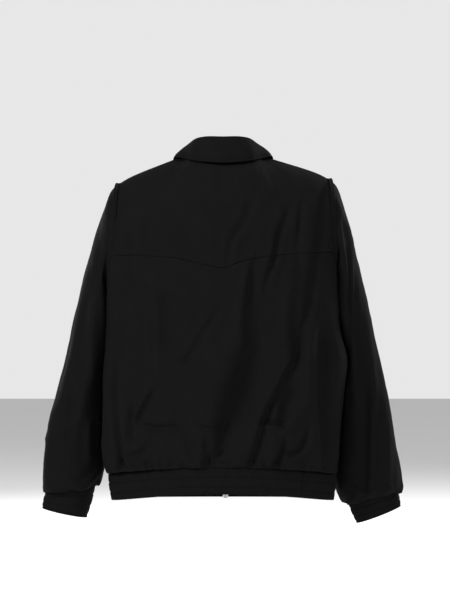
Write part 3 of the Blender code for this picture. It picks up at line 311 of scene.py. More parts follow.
def fold(lean, *rows):
    """A crease: points along it with depth and width, all in millimetres, and how far its ridge
    leans to the wearer's left (1) or right (-1) where the crease runs down."""
    return lean, table(("u", "v", "depth", "width"), *(np.array(rows) / 1000.0))


CREASE = {                              # on a plain fold, more on the side it leans to, less behind
    "steep": (1.0, 0.8, 0.5),
    "ridge": (0.30, 0.35, 0.25),        # height, as a share of the depth
    "peak": (1.9, -0.5, 0.0),           # the ridge's distance from the route, in widths
}
RIDGE_WIDTH = 1.1
CREASE_REACH = 4.0


def leaning(kind, leans):
    """A crease's proportion where the fold leans this way (above 0) or the other way (below 0)."""
    plain, more, less = CREASE[kind]
    return plain + more * np.maximum(leans, 0) - less * np.maximum(-leans, 0)


def creases(u, v, folds):
    """How far the cloth sinks at (u, v). Each fold is a soft trough, a Gaussian of the distance to its
    route, beside a ridge of the same kind. A leaning fold is steeper, with a higher and nearer ridge,
    on the side that it leans to."""
    total = np.zeros(u.shape)
    for lean, rows in folds:
        keys = np.arange(len(rows["u"]), dtype=float)
        at = np.linspace(0.0, keys[-1], 4 * len(keys))
        line = np.stack([smooth(at, keys, rows[name]) for name in ("u", "v", "depth", "width")], -1)
        reach = CREASE_REACH * rows["width"].max()
        near = ((u > line[:, 0].min() - reach) & (u < line[:, 0].max() + reach)
                & (v > line[:, 1].min() - reach) & (v < line[:, 1].max() + reach))
        if not near.any():
            continue
        spot = np.stack([u[near], v[near]], -1)[:, None]
        start, step = line[:-1, :2], line[1:, :2] - line[:-1, :2]
        share = np.clip(((spot - start) * step).sum(-1) / (step ** 2).sum(-1), 0.0, 1.0)
        away = spot - start - share[..., None] * step
        apart = np.linalg.norm(away, axis=-1)
        best = np.argmin(apart, axis=1)
        one = np.arange(len(best))
        part = share[one, best]
        depth, width = (line[best, k] + (line[best + 1, k] - line[best, k]) * part for k in (2, 3))
        side = np.sign(step[best, 0] * away[one, best, 1] - step[best, 1] * away[one, best, 0])
        far = apart[one, best] / width
        leans = side * lean
        trough = np.exp(-(far * leaning("steep", leans)) ** 2)
        ridge = np.exp(-((far - leaning("peak", leans)) / RIDGE_WIDTH) ** 2)
        total[near] += depth * (trough - leaning("ridge", leans) * ridge)
    return total


def gathers(length, seed, gap, height, depth, width, crowd=0.35):
    """Short pleats, in millimetres, that rise from a drawn-up seam at uneven gaps, heights and tilts."""
    chance = np.random.default_rng(seed)
    made = []
    at = gap * chance.uniform(0.3, 0.9)
    while at < 1000 * length:
        rise = height * chance.uniform(0.35, 1.3)
        lean = rise * chance.uniform(-0.35, 0.35)
        deep = depth * chance.uniform(0.45, 1.2)
        wide = width * chance.uniform(0.7, 1.4)
        made.append(fold(chance.choice([-0.6, 0.0, 0.6]),
                         (at, -4, deep, wide), (at + lean * 0.4, rise * 0.45, deep * 0.75, wide * 1.1),
                         (at + lean, rise, 0.0, wide * 1.6)))
        at += gap * chance.uniform(1 - crowd, 1 + 2 * crowd)
    return made


def border(fine, coarse, step):
    """Triangles between a fine edge and a coarse one that keeps every step-th of its points."""
    turn = (step + 1) // 2
    points = [fine[k: len(fine) - step + k: step] for k in range(step + 1)]
    near, far = coarse[:-1], coarse[1:]
    faces = [np.stack([points[k + 1], points[k], near if k < turn else far], -1) for k in range(step)]
    return np.concatenate(faces + [np.stack([far, points[turn], near], -1)])


def cells(ids):
    """The four corners of every cell of a grid of point numbers."""
    return np.stack([ids[:-1, :-1], ids[:-1, 1:], ids[1:, 1:], ids[1:, :-1]], -1).reshape(-1, 4)


def shell(name, outer, normal, wall, look, cut, worn=None, around=False, sparse=SPARSE):
    """Closed cloth wall: the outer skin, an inner skin one wall behind it from every third row and
    column, and a strip between their edges. cut is the flat place of each point, in metres."""
    # Its point attribute marks rubbed cloth at the seams, and on the shirred bands a painted highlight on
    # the pleats' crests.
    worn = np.zeros(outer.shape[:2]) if worn is None else worn
    if around:
        outer, normal, worn = (np.concatenate([grid, grid[:, :1]], 1) for grid in (outer, normal, worn))
        step = np.linalg.norm(outer[:1, 0] - outer[:1, -2], axis=-1)
        cut = np.concatenate([cut, cut[:, -1:] + np.array([step[0], 0.0])], 1)
    inner = (outer - normal * wall)[::sparse, ::sparse]
    ids = np.arange(outer[..., 0].size).reshape(outer.shape[:2])
    inner_ids = np.arange(inner[..., 0].size).reshape(inner.shape[:2]) + ids.size
    quads = np.concatenate([cells(ids), cells(inner_ids)[:, ::-1]])
    rims = [border(ids[0], inner_ids[0], sparse), border(ids[-1, ::-1], inner_ids[-1, ::-1], sparse)]
    if not around:
        rims += [border(ids[:, -1], inner_ids[:, -1], sparse),
                 border(ids[::-1, 0], inner_ids[::-1, 0], sparse)]
    rims = np.concatenate(rims)
    facing = np.cross(outer[:-1, 1:] - outer[:-1, :-1], outer[1:, :-1] - outer[:-1, :-1])
    if (facing * normal[:-1, :-1]).sum() < 0:
        quads, rims = quads[:, ::-1], rims[:, ::-1]
    points = np.concatenate([outer.reshape(-1, 3), inner.reshape(-1, 3)])
    flat = np.concatenate([cut.reshape(-1, 2), cut[::sparse, ::sparse].reshape(-1, 2)])
    rub = np.concatenate([worn.ravel(), worn[::sparse, ::sparse].ravel()])
    same = np.arange(len(points))
    if around:
        same[ids[:, -1]] = ids[:, 0]
        same[inner_ids[:, -1]] = inner_ids[:, 0]
    return mesh_piece(name, points, [quads, rims], look, flat, rub, same)


def mesh_piece(name, points, faces, look, flat=None, rub=None, same=None):
    """Mesh object from arrays of points and faces. flat becomes its cut UV map, rub its point attribute
    of rubbed seams and of the shirred bands' painted crest highlight, and same names for each point the
    one that it is merged into."""
    corners = np.concatenate([group.ravel() for group in faces])
    if same is not None:
        kept, place = np.unique(same, return_inverse=True)
        faces = [place[group] for group in faces]
        points = points[kept]
        rub = rub[kept]
    mesh = bpy.data.meshes.new(name)
    mesh.from_pydata(points.tolist(), [], [face for group in faces for face in group.tolist()])
    if flat is not None:
        layer = mesh.uv_layers.new(name="cut")
        layer.data.foreach_set("uv", flat[corners].astype(np.float32).ravel())
    if rub is not None:
        mesh.attributes.new("worn", "FLOAT", "POINT").data.foreach_set("value", rub.astype(np.float32))
    mesh.polygons.foreach_set("use_smooth", np.ones(len(mesh.polygons), bool))
    mesh.materials.append(look)
    piece = bpy.data.objects.new(name, mesh)
    bpy.context.scene.collection.objects.link(piece)
    return piece


def scatter(name, shape, faces, place, axes, look):
    """Copies of one small shape: each of its corners carried along the place's own three axes."""
    points = place[:, None] + np.einsum("sk,nkj->nsj", shape, axes)
    first = np.arange(len(place))[:, None, None] * len(shape)
    copied = [(first + group).reshape(-1, group.shape[1]) for group in faces]
    return mesh_piece(name, points.reshape(-1, 3), copied, look)


def inset(grid, normal, axis, last, distance):
    """Line on a grid at a distance in from one edge, and the directions square to the cloth there."""
    if axis:
        grid, normal = grid.swapaxes(0, 1), normal.swapaxes(0, 1)
    if last:
        grid, normal = grid[::-1], normal[::-1]
    away = from_end(grid, 0, False)
    high = np.argmax(away >= distance, axis=0)
    one = np.arange(grid.shape[1])
    share = ((distance - away[high - 1, one]) / (away[high, one] - away[high - 1, one]))[:, None]
    return grid[high - 1, one] * (1 - share) + grid[high, one] * share, normal[high, one]


THREAD = {"half_long": 0.00135, "half_thick": 0.00024, "pitch": 0.0034}
STITCH_SIGHT = 0.0012                   # how far to each side a stitch takes its direction from
THREAD_DARK = (0.0035, 0.0035, 0.0036, 1.0)
THREAD_LIGHT = (0.0062, 0.0062, 0.0064, 1.0)
PLY_TURNS = 2600.0                      # noise scale, by the metre

thread_look = Look("thread", Roughness=0.75, IOR=1.07)
ply = thread_look.noise(thread_look.node("ShaderNodeTexCoord", {}, 3), PLY_TURNS, 1.0)
thread_look.vary("Base Color", thread_look.mix(ply, THREAD_DARK, THREAD_LIGHT))

# One stitch, in half lengths and half thicknesses: two rings of five corners between sunk end points.
sunk, ring_end, proud = -1.4, 0.55, 0.7
five = np.arange(5)
after = (five + 1) % 5
corners = five * 2 * pi / 5
rings = [(end, np.sin(turn), proud + np.cos(turn)) for end in (-ring_end, ring_end) for turn in corners]
STITCH = np.array([(-1.0, 0.0, sunk), *rings, (1.0, 0.0, sunk)])
STITCH_FACES = [np.stack([five + 1, five + 6, after + 6, after + 1], -1),
                np.concatenate([np.stack([five * 0, five + 1, after + 1], -1),
                                np.stack([after + 6, five + 6, five * 0 + 11], -1)])]


def at_run(at, run, columns):
    """Values along a line, straight from one point to the next, at given runs."""
    return np.stack([np.interp(at, run, column) for column in columns.T], -1)


def stitches(name, lines):
    """Rows of thread beads whose ends dip into the cloth, one bead a stitch, along each given line."""
    places, frames = [], []
    for line, face in lines:
        run = from_end(line, 0, False)
        at = np.arange(THREAD["pitch"], run[-1] - THREAD["pitch"] / 2, THREAD["pitch"])
        ahead = unit(at_run(at + STITCH_SIGHT, run, line) - at_run(at - STITCH_SIGHT, run, line))
        beside = unit(np.cross(at_run(at, run, face), ahead))
        places.append(at_run(at, run, line))
        frames.append(np.stack([ahead, beside, np.cross(ahead, beside)], 1))
    size = [THREAD["half_long"], THREAD["half_thick"], THREAD["half_thick"]]
    made = scatter(name, STITCH * size, STITCH_FACES, np.concatenate(places), np.concatenate(frames),
                   thread_look.material)
    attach(made, "jacket")


def sew(piece, nodes):
    """Hide the solids that a cloth piece stands for, and let it ride with the jacket."""
    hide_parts(*nodes)
    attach(piece, "jacket")


# ------------------------------------------------------------------ the body's cut
# Yoke, back and fronts are cut to one surface. Its rows run from the neck and shoulder seam (0) past
# the underarm (1) to the waist seam (2), each a squared half ellipse from armhole or side seam.
SEAM_GAP = 0.0003
NECK_X = 0.085
NECK_BACK = 0.055
NECK_SIDE_Z = 0.013
ZIP_X = -0.005
FRONT_EDGE = 0.0055
ARM_BACK = 0.088
ARM_FRONT = 0.070
ARM_BULGE = 0.008
ARM_JOINS_RING = (50.0, 112.0)          # degrees down from the shoulder
TIP_ROLL = 0.008                        # how far the shoulder turns down at its tip
PIT_Y = -0.045
PIT_Z = -0.285
SHAPED = 0.42
SQUARE_BACK = 2.2
SQUARE_FRONT = 2.6
SIDE_WAIST_Z = -0.637
NECK_SHARE = {1: 0.40, -1: 0.50}
SIDES = {
    "left": {"sign": 1.0, "tip_x": 0.2140, "tip_z": -0.0450, "seed": 5},
    "right": {"sign": -1.0, "tip_x": 0.2170, "tip_z": -0.0350, "seed": 9},
}
MIDDLE = table(
    ("level", "back_y", "back_z", "front_y", "front_z", "widest_y"),
    (0.00, 0.055, 0.000, -0.109, -0.083, 0.000),
    (0.15, 0.095, -0.019, -0.1105, -0.112, 0.010),
    (0.30, 0.120, -0.060, -0.1145, -0.140, 0.030),
    (0.50, 0.137, -0.130, -0.125, -0.185, 0.042),
    (0.75, 0.146, -0.220, -0.136, -0.245, 0.038),
    (1.00, 0.148, -0.298, -0.140, -0.300, 0.034),
    (1.35, 0.146, -0.415, -0.143, -0.420, 0.034),
    (1.70, 0.146, -0.525, -0.144, -0.540, 0.030),
    (1.90, 0.144, -0.590, -0.142, -0.610, 0.026),
    (2.00, 0.131, -0.617, -0.131, -0.641, 0.022),
)
BODY = table(
    ("level", "left", "right"),
    (1.00, 0.236, 0.2345),
    (1.15, 0.238, 0.237),
    (1.33, 0.240, 0.252),
    (1.48, 0.243, 0.246),
    (1.74, 0.244, 0.238),
    (1.90, 0.246, 0.235),
    (2.00, 0.236, 0.230),
)


def ring_share(y, level):
    """Share of a row's full half width at y: a squared ellipse fore and aft of its widest place."""
    widest = read(MIDDLE, "widest_y", level)
    back = read(MIDDLE, "back_y", level) - widest
    front = widest - read(MIDDLE, "front_y", level)
    behind = y >= widest
    square = np.where(behind, SQUARE_BACK, SQUARE_FRONT)
    share = np.clip(np.abs(y - widest) / np.where(behind, back, front), 0.0, 1.0)
    return (1 - share ** square) ** (1 / square)


def ring_half_width(side, y, level):
    """Distance of the body's side from its middle plane at y: the row's width times its share."""
    return read(BODY, side, level) * ring_share(y, level)


def armhole(side, turn):
    """Armhole loop: an ellipse seen from the side, turn 0 at the shoulder and positive behind, which
    lies on the body's own ring further down."""
    size = SIDES[side]
    down = (1 - np.cos(turn)) / 2
    y = PIT_Y * down + np.where(turn >= 0, ARM_BACK, ARM_FRONT) * np.sin(turn)
    z = size["tip_z"] + (PIT_Z - size["tip_z"]) * down
    upper = size["tip_x"] + ARM_BULGE * np.sin(turn)
    lower = ring_half_width(side, y, np.ones_like(y))
    x = upper + (lower - upper) * ease(np.degrees(np.abs(turn)), *ARM_JOINS_RING)
    return np.stack([size["sign"] * x, y, z], -1)


def panel_edge(face, side, level):
    """Edge of a panel: the armhole down to level 1, then the side seam."""
    hole = armhole(side, face * pi * np.clip(level, 0.0, 1.0))
    below = np.clip(level, 1.0, 2.0)
    x = SIDES[side]["sign"] * ring_half_width(side, PIT_Y, below)
    seam = np.stack([x, np.full_like(x, PIT_Y), PIT_Z + (SIDE_WAIST_Z - PIT_Z) * (below - 1)], -1)
    return np.where((level <= 1.0)[..., None], hole, seam)


def body_row(face, across, level):
    """Squared half ellipse from the panel's edge to the middle of the back (+1) or front (-1)."""
    edge = np.where((across >= 0)[..., None], panel_edge(face, "left", level),
                    panel_edge(face, "right", level))
    widest = read(MIDDLE, "widest_y", level)
    end_share = ring_share(edge[..., 1], level)
    end = np.arcsin(end_share)
    end = np.where(face * (edge[..., 1] - widest) >= 0, end, pi - end)
    turn = end * np.abs(across)
    share = np.sin(turn)
    behind = face * np.cos(turn) >= 0
    square = np.where(behind, SQUARE_BACK, SQUARE_FRONT)
    limit = np.where(behind, read(MIDDLE, "back_y", level), read(MIDDLE, "front_y", level))
    y = widest + (limit - widest) * np.clip(1 - share ** square, 0.0, 1.0) ** (1 / square)
    middle_z = read(MIDDLE, "back_z" if face > 0 else "front_z", level)
    z = middle_z + (edge[..., 2] - middle_z) * np.sin(pi / 2 * np.abs(across)) ** 2
    return np.stack([edge[..., 0] * share / end_share, y, z], -1)


def top_edge(face, across):
    """Neck seam, a quarter ellipse each side, then the shoulder seam, straight until it rolls down to
    its tip by an eighth power."""
    neck = NECK_SHARE[face]
    front_z = MIDDLE["front_z"][0]
    turn = np.clip(np.abs(across) / neck, 0.0, 1.0) * pi / 2
    out = np.clip((np.abs(across) - neck) / (1 - neck), 0.0, 1.0)
    y = (NECK_BACK if face > 0 else MIDDLE["front_y"][0]) * np.cos(turn)
    z = NECK_SIDE_Z * np.sin(turn) ** 2
    if face < 0:
        z = front_z + (NECK_SIDE_Z - front_z) * (1 - np.cos(turn))
    left, right = SIDES["left"], SIDES["right"]
    tip_x = np.where(across >= 0, left["tip_x"], right["tip_x"])
    tip_z = np.where(across >= 0, left["tip_z"], right["tip_z"])
    x = NECK_X * np.sin(turn) + (tip_x - NECK_X) * out
    z = z + (tip_z + TIP_ROLL - NECK_SIDE_Z) * out - TIP_ROLL * out ** 8
    return np.stack([np.where(across >= 0, x, -x), y, z], -1)


CORNER_SPREAD = 0.18                    # of the row, to each side of the corner of neck and shoulder
CORNER_STEPS = np.linspace(-2.0, 2.0, 17)
MOVES_AT = np.linspace(-1.2, 1.2, 4801)
MOVES = {face: top_edge(face, MOVES_AT) - body_row(face, MOVES_AT, 0 * MOVES_AT) for face in (1, -1)}


def body(face, across, level):
    """Point of the plain body. Near the top each row is moved to meet the neck and shoulder seam,
    and the corner between them is softened further down by a bell-weighted mean along the row."""
    across, level = np.broadcast_arrays(np.asarray(across, float), np.asarray(level, float))
    spread = CORNER_SPREAD * ease(level, 0.0, 0.14) * (1 - np.abs(across))
    weights = np.exp(-CORNER_STEPS ** 2)
    shift = np.zeros((*across.shape, 3))
    for step, weight in zip(CORNER_STEPS, weights / weights.sum()):
        near = across + step * spread
        shift += weight * at_run(near, MOVES_AT, MOVES[face])
    keep = 1 - ease(level, 0.0, SHAPED)
    point = body_row(face, across, level) + shift * keep[..., None]
    if face < 0:
        point[..., 0] += ZIP_X * (1 - ease(np.abs(across), 0.0, NECK_SHARE[-1]))
    return point


def body_normal(face, across, level):
    """Outward direction of the plain body: the cross product of short steps across and down. The
    step down is longer near the neck, where the columns run almost along the seam."""
    across, level = np.broadcast_arrays(np.asarray(across, float), np.asarray(level, float))
    step = 2e-3
    reach = step + 0.06 * (1 - ease(level, 0.0, 0.3))
    later, earlier = (np.clip(across + side * step, -1, 1) for side in (1, -1))
    lower, upper = (np.clip(level + side * reach, 0, 2) for side in (1, -1))
    wide = body(face, later, level) - body(face, earlier, level)
    down = body(face, across, lower) - body(face, across, upper)
    return unit(face * np.cross(wide, down))


def crossing(at, values):
    """For each row of rising values, the place along at where it reaches zero."""
    high = np.argmax(values >= 0, axis=1)
    one = np.arange(len(values))
    below, above = values[one, high - 1], values[one, high]
    return at[high - 1] + (at[high] - at[high - 1]) * below / (below - above)


def flat_cut(grid):
    """Flat place of each point, from distances along its row and down its column, in metres."""
    return np.stack([from_end(grid, 1, False), from_end(grid, 0, False)], -1)


TURNED = (0.0011, 0.0016)               # depth and width of a cut edge that is turned under
SET_IN = (0.0030, 0.0018)               # the deeper groove along a set-in sleeve


PUCKER = {"size": 0.007, "from_edge": 0.007, "width": 0.006, "height": 0.00035}
RUBBED = {"from_edge": 0.0025, "width": 0.0022}


def seam_sink(grid, edges):
    """Cloth turned under at a seam: it dips by a depth within a width of each edge, and the stitching
    puckers it beside the edge. Also gives how rubbed it is there."""
    sink = np.zeros(grid.shape[:2])
    rub = np.zeros(grid.shape[:2])
    for axis, last, depth, width in edges:
        away = from_end(grid, axis, last)
        along = from_end(grid, 1 - axis, False)
        beside = np.exp(-((away - PUCKER["from_edge"]) / PUCKER["width"]) ** 2)
        pucker = noise(along, along * 0, PUCKER["size"], 3) * beside
        sink += depth * np.exp(-(away / width) ** 2) + PUCKER["height"] * pucker
        rub = np.maximum(rub, np.exp(-((away - RUBBED["from_edge"]) / RUBBED["width"]) ** 2))
    return sink, rub


UNEVEN = table(
    ("height", "size", "shear", "squeeze"),
    (0.0024, 0.052, 0.0, 0.30),
    (0.0011, 0.024, 0.0, 0.45),
    (0.00040, 0.011, 0.4, 1.0),
)


def hang(u, v, seed):
    """Unevenness of hanging cloth: two broad noises, drawn out downwards, and a fine slanting one."""
    total = np.zeros(u.shape)
    for step, (height, size, shear, squeeze) in enumerate(zip(*UNEVEN.values())):
        total += height * noise(u + v * shear, v * squeeze - u * 0.75 * shear, size, seed + step)
    return total


# ------------------------------------------------------------------ back yoke and back
# The yoke is one piece across the shoulders with a shallow point at the middle of its lower seam. The
# back hangs from it, drags in long creases from the wearer's right armhole, and blouses over the band.
YOKE_SEAM = table(
    ("x", "z"),
    (-0.225, -0.1825), (-0.166, -0.1866), (-0.133, -0.1886), (-0.082, -0.1958),
    (-0.037, -0.2050), (0.000, -0.2173), (0.033, -0.2120), (0.068, -0.2030),
    (0.1025, -0.1968), (0.1415, -0.1930), (0.197, -0.1917), (0.232, -0.1927),
)
# Creases as seen from behind: x, z, depth and width along each.
BACK_FOLDS = [
    # long crease from the right armhole
    fold(0.3, (-213, -35, 0.5, 16), (-205, -86, 4.5, 12), (-195, -141, 6.5, 11), (-187, -191, 7, 10),
          (-178, -244, 7.5, 9.5), (-168, -305, 7.5, 9), (-158, -353, 7.5, 9), (-150, -387, 6, 9),
          (-141, -416, 2, 9)),
    # its sharp lower end
    fold(0.8, (-154, -363, 0, 12), (-144, -400, 5, 9), (-129, -426, 8, 7.5), (-117, -451, 9, 7),
          (-98, -484, 9, 7), (-78, -533, 8, 6.8), (-64, -582, 7.5, 6.8), (-51, -617, 7, 6.8),
          (-47, -629, 5, 7)),
    # the roll beside it
    fold(0.0, (-96, -428, 0, 16), (-88, -461, -5.6, 16), (-72, -496, -7, 16), (-53, -543, -7, 15),
          (-39, -588, -5.6, 13), (-31, -617, -2.8, 12)),
    # right of the yoke's middle
    fold(-0.5, (-61, -76, 0.3, 10), (-57, -92, 3, 9), (-41, -127, 4, 8), (-20, -160, 4.5, 7),
          (-14, -189, 3.5, 7), (-12, -215, 1, 8)),
    fold(0.3, (-133, -92, 0.5, 9), (-127, -113, 4, 8), (-113, -146, 6, 7), (-107, -174, 7, 6.5),
          (-100, -203, 7, 6.5), (-90, -232, 5, 6.5), (-84, -260, 3, 7), (-82, -281, 0, 8)),
    fold(0.2, (-160, -70, 0.5, 7), (-156, -107, 3, 6), (-152, -148, 3.5, 6), (-148, -178, 1, 6)),
    # deep valley down the middle
    fold(1.0, (-61, -203, 1.5, 8), (-55, -232, 7, 8), (-51, -271, 9, 10), (-49, -322, 10, 14),
          (-53, -373, 14, 22), (-45, -408, 20, 30), (-35, -441, 23, 33), (-25, -469, 23, 33),
          (-10, -508, 20, 28), (2, -547, 16, 20), (10, -580, 10, 14), (18, -609, 4, 10)),
    fold(0.0, (2, -281, 0, 8), (12, -305, 2.2, 7), (37, -346, 3, 7), (68, -396, 3, 6.5), (80, -416, 0, 8)),
    fold(0.0, (-68, -281, 0, 14), (-70, -318, 4.5, 13), (-64, -367, 4.5, 13), (-59, -396, 0, 14)),
    fold(0.0, (-137, -203, 0, 15), (-131, -260, -5.6, 15), (-123, -318, -7.5, 14), (-121, -373, -7.5, 13),
          (-121, -412, 0, 13)),
    fold(0.0, (-150, -281, 0, 9), (-146, -330, 3, 9), (-144, -373, 3, 9), (-144, -404, 0, 9)),
    fold(0.0, (-170, -312, 0, 11), (-168, -363, -7.5, 11), (-166, -424, -7.5, 12), (-164, -486, -5.6, 12),
          (-162, -531, 0, 12)),
    fold(0.4, (-203, -318, 0, 14), (-201, -373, 11.3, 14), (-201, -455, 13.3, 13), (-203, -527, 13.3, 12),
          (-205, -588, 9.4, 10), (-207, -625, 5.6, 9)),
    fold(0.0, (-139, -428, 0, 15), (-133, -469, 11.3, 14), (-125, -506, 11.3, 12), (-119, -529, 7.5, 9),
          (-117, -547, 0, 9)),
    # ledges over the gathers
    fold(0.8, (-61, -521, 0, 7), (-80, -525, 5, 6), (-98, -527, 6, 5.5), (-119, -529, 5, 6),
          (-137, -539, 2, 7), (-150, -556, 0, 8)),
    fold(0.7, (-125, -556, 1, 6), (-121, -574, 6, 5.5), (-111, -594, 6.3, 5.5), (-98, -617, 6.3, 5.5),
          (-94, -629, 4, 5.5)),
    fold(0.0, (-105, -543, 0, 8), (-102, -568, -4, 8), (-96, -592, -4, 8), (-88, -617, -1, 8)),
    fold(-0.5, (-178, -523, 0, 7), (-170, -556, 6, 6), (-156, -582, 6.9, 6), (-137, -590, 6.5, 6),
          (-119, -582, 2, 7), (-111, -570, 0, 8)),
    # down the left side
    fold(0.3, (221, -387, 0, 8), (220, -416, 6, 7), (221, -469, 7.5, 6.5), (215, -527, 6.9, 6),
          (211, -562, 6.9, 6), (207, -605, 6.9, 6), (206, -625, 3.6, 6)),
    fold(0.0, (189, -281, 0, 12), (189, -353, -4, 12), (189, -424, -4, 12), (193, -506, 0, 13)),
    fold(-0.2, (182, -476, 0, 6), (184, -500, 5, 6), (186, -531, 6.9, 6), (187, -556, 6, 6),
          (187, -572, 0, 7)),
    fold(0.6, (139, -453, 0, 6), (144, -469, 5, 5.5), (156, -492, 6.3, 5.5), (170, -519, 6, 5.5),
          (178, -535, 1, 6)),
    fold(0.0, (156, -281, 0, 15), (152, -353, 4, 14), (152, -420, 4, 14), (154, -486, 0, 15)),
    fold(0.0, (135, -240, 0, 10), (133, -322, -3, 10), (133, -394, -3, 10), (137, -461, 0, 11)),
    fold(0.0, (109, -203, 0, 19), (109, -281, 5, 18), (107, -363, 5, 18), (100, -435, 0, 20)),
    fold(0.0, (199, -107, 0, 12), (197, -158, 4.2, 11), (197, -240, 4.5, 11), (199, -318, 0, 12)),
    fold(0.0, (150, -100, 0, 9), (150, -141, 3.6, 9), (148, -189, 0, 9)),
    fold(-0.7, (178, -510, 0, 9), (162, -527, 3, 7), (139, -535, 6, 6.5), (113, -535, 5, 7.5),
          (90, -537, 3, 9), (74, -549, 3.5, 9), (70, -574, 2, 10), (70, -603, 0, 11)),
    fold(-0.5, (61, -521, 0, 7), (45, -533, 4, 6), (25, -537, 5, 6), (4, -533, 4, 6.5), (-14, -517, 0, 8)),
    # sharp tucks over the waist seam
    fold(0.3, (209, -605, 0, 9), (193, -599, 3.5, 8), (174, -591, 6, 7.5), (160, -583, 5.5, 7),
          (150, -570, 3.5, 7), (146, -549, 0, 8)),
    fold(0.0, (221, -592, 0, 6), (213, -605, 4, 5.5), (201, -611, 5, 5), (189, -617, 5, 5.5),
          (174, -621, 0, 7)),
    fold(0.0, (80, -539, 0, 14), (78, -568, -7, 14), (76, -599, -7, 13), (74, -625, -2.8, 12)),
    fold(0.5, (35, -535, 1.3, 9), (33, -562, 7.8, 9), (33, -592, 9.1, 8), (33, -617, 7.8, 8),
          (33, -629, 3.9, 8)),
    fold(0.0, (39, -613, 0, 8), (25, -597, 3.5, 7.5), (8, -588, 4.5, 7), (-8, -580, 4, 7.5),
          (-20, -562, 0, 9)),
]
GATHER = {"gap": 13, "height": 30, "depth": 3.2, "width": 4.2}
BLOUSE = {"gap": 40, "height": 66, "depth": 5.0, "width": 11, "crowd": 0.5}
LAP = 0.0012                            # how much lower the back starts under the yoke
LAP_REACH = 0.030
PUFF = 0.0010                           # how far the cloth stands out over the waistband
EDGE_CALM = 0.030                       # the last stretch above a seam, where the cloth hangs evenly
YOKE_STITCH = 0.0030                    # from the yoke's edge
BACK_COLUMNS = 337
YOKE_ROWS = 88
UPPER_ROWS = 64                         # from the yoke's seam to the underarm
LOWER_ROWS = 168


def yoke_level(across):
    """Level at which each column of the back crosses the yoke's lower seam."""
    levels = np.linspace(0.2, 1.1, 90)
    grid = body(1, across[:, None], levels[None, :])
    return crossing(levels, smooth(grid[..., 0], YOKE_SEAM["x"], YOKE_SEAM["z"]) - grid[..., 2])


def drape(grid, normal, folds, seed, edges, level, waist=False, lapped=False):
    """Sink a panel by its creases, its gathers over the waist seam, its unevenness and its seams. The
    yoke laps over the back, which starts a wall's thickness lower and comes level in a few centimetres."""
    u, v = grid[..., 0], grid[..., 2]
    keep = ease(level, 0.0, 0.16)
    sink = creases(u, v, folds) * keep
    run = np.broadcast_to(from_end(grid[-1:], 1, False), u.shape)
    rise = from_end(grid, 0, True)
    sink -= hang(run, v, seed) * keep * ease(rise, 0.0, EDGE_CALM)
    if waist:
        sink = sink * ease(rise, 0.0, 0.010)
        pleats = gathers(run.max(), seed, **GATHER) + gathers(run.max(), seed + 5, **BLOUSE)
        sink += (creases(run, rise, pleats) - PUFF) * ease(rise, -0.004, 0.006)
    if lapped:
        sink += LAP * np.exp(-(from_end(grid, 0, False) / LAP_REACH) ** 2)
    turned, rub = seam_sink(grid, edges)
    return grid - normal * (sink + turned)[..., None], rub


across_back = np.linspace(-1.0, 1.0, BACK_COLUMNS)
seam_level = yoke_level(across_back)
BACK_EDGES = [(0, True, *TURNED), (1, False, *SET_IN), (1, True, *SET_IN)]

level = spaced(YOKE_ROWS)[:, None] * seam_level
plain, normal = body(1, across_back, level), body_normal(1, across_back, level)
outer, rub = drape(plain, normal, BACK_FOLDS, 11, [(0, False, *TURNED), *BACK_EDGES], level)
yoke = shell("yoke_cloth", outer, normal, CLOTH_WALL, cloth_look, flat_cut(plain), rub)
sew(yoke, ["back_yoke"])
stitches("yoke_stitches", [inset(outer, normal, 0, True, YOKE_STITCH)])

upper = seam_level + np.linspace(0.0, 1.0, UPPER_ROWS)[:, None] * (1 - seam_level)
lower = 1 + np.linspace(0.0, 1.0, LOWER_ROWS + 1)[1:, None] ** 0.95
level = np.concatenate([upper, np.broadcast_to(lower, (LOWER_ROWS, BACK_COLUMNS))])
plain, normal = body(1, across_back, level), body_normal(1, across_back, level)
outer, rub = drape(plain, normal, BACK_FOLDS, 11, BACK_EDGES, level, waist=True, lapped=True)
back = shell("back_cloth", outer, normal, CLOTH_WALL, cloth_look, flat_cut(plain), rub)
sew(back, ["back_body"])


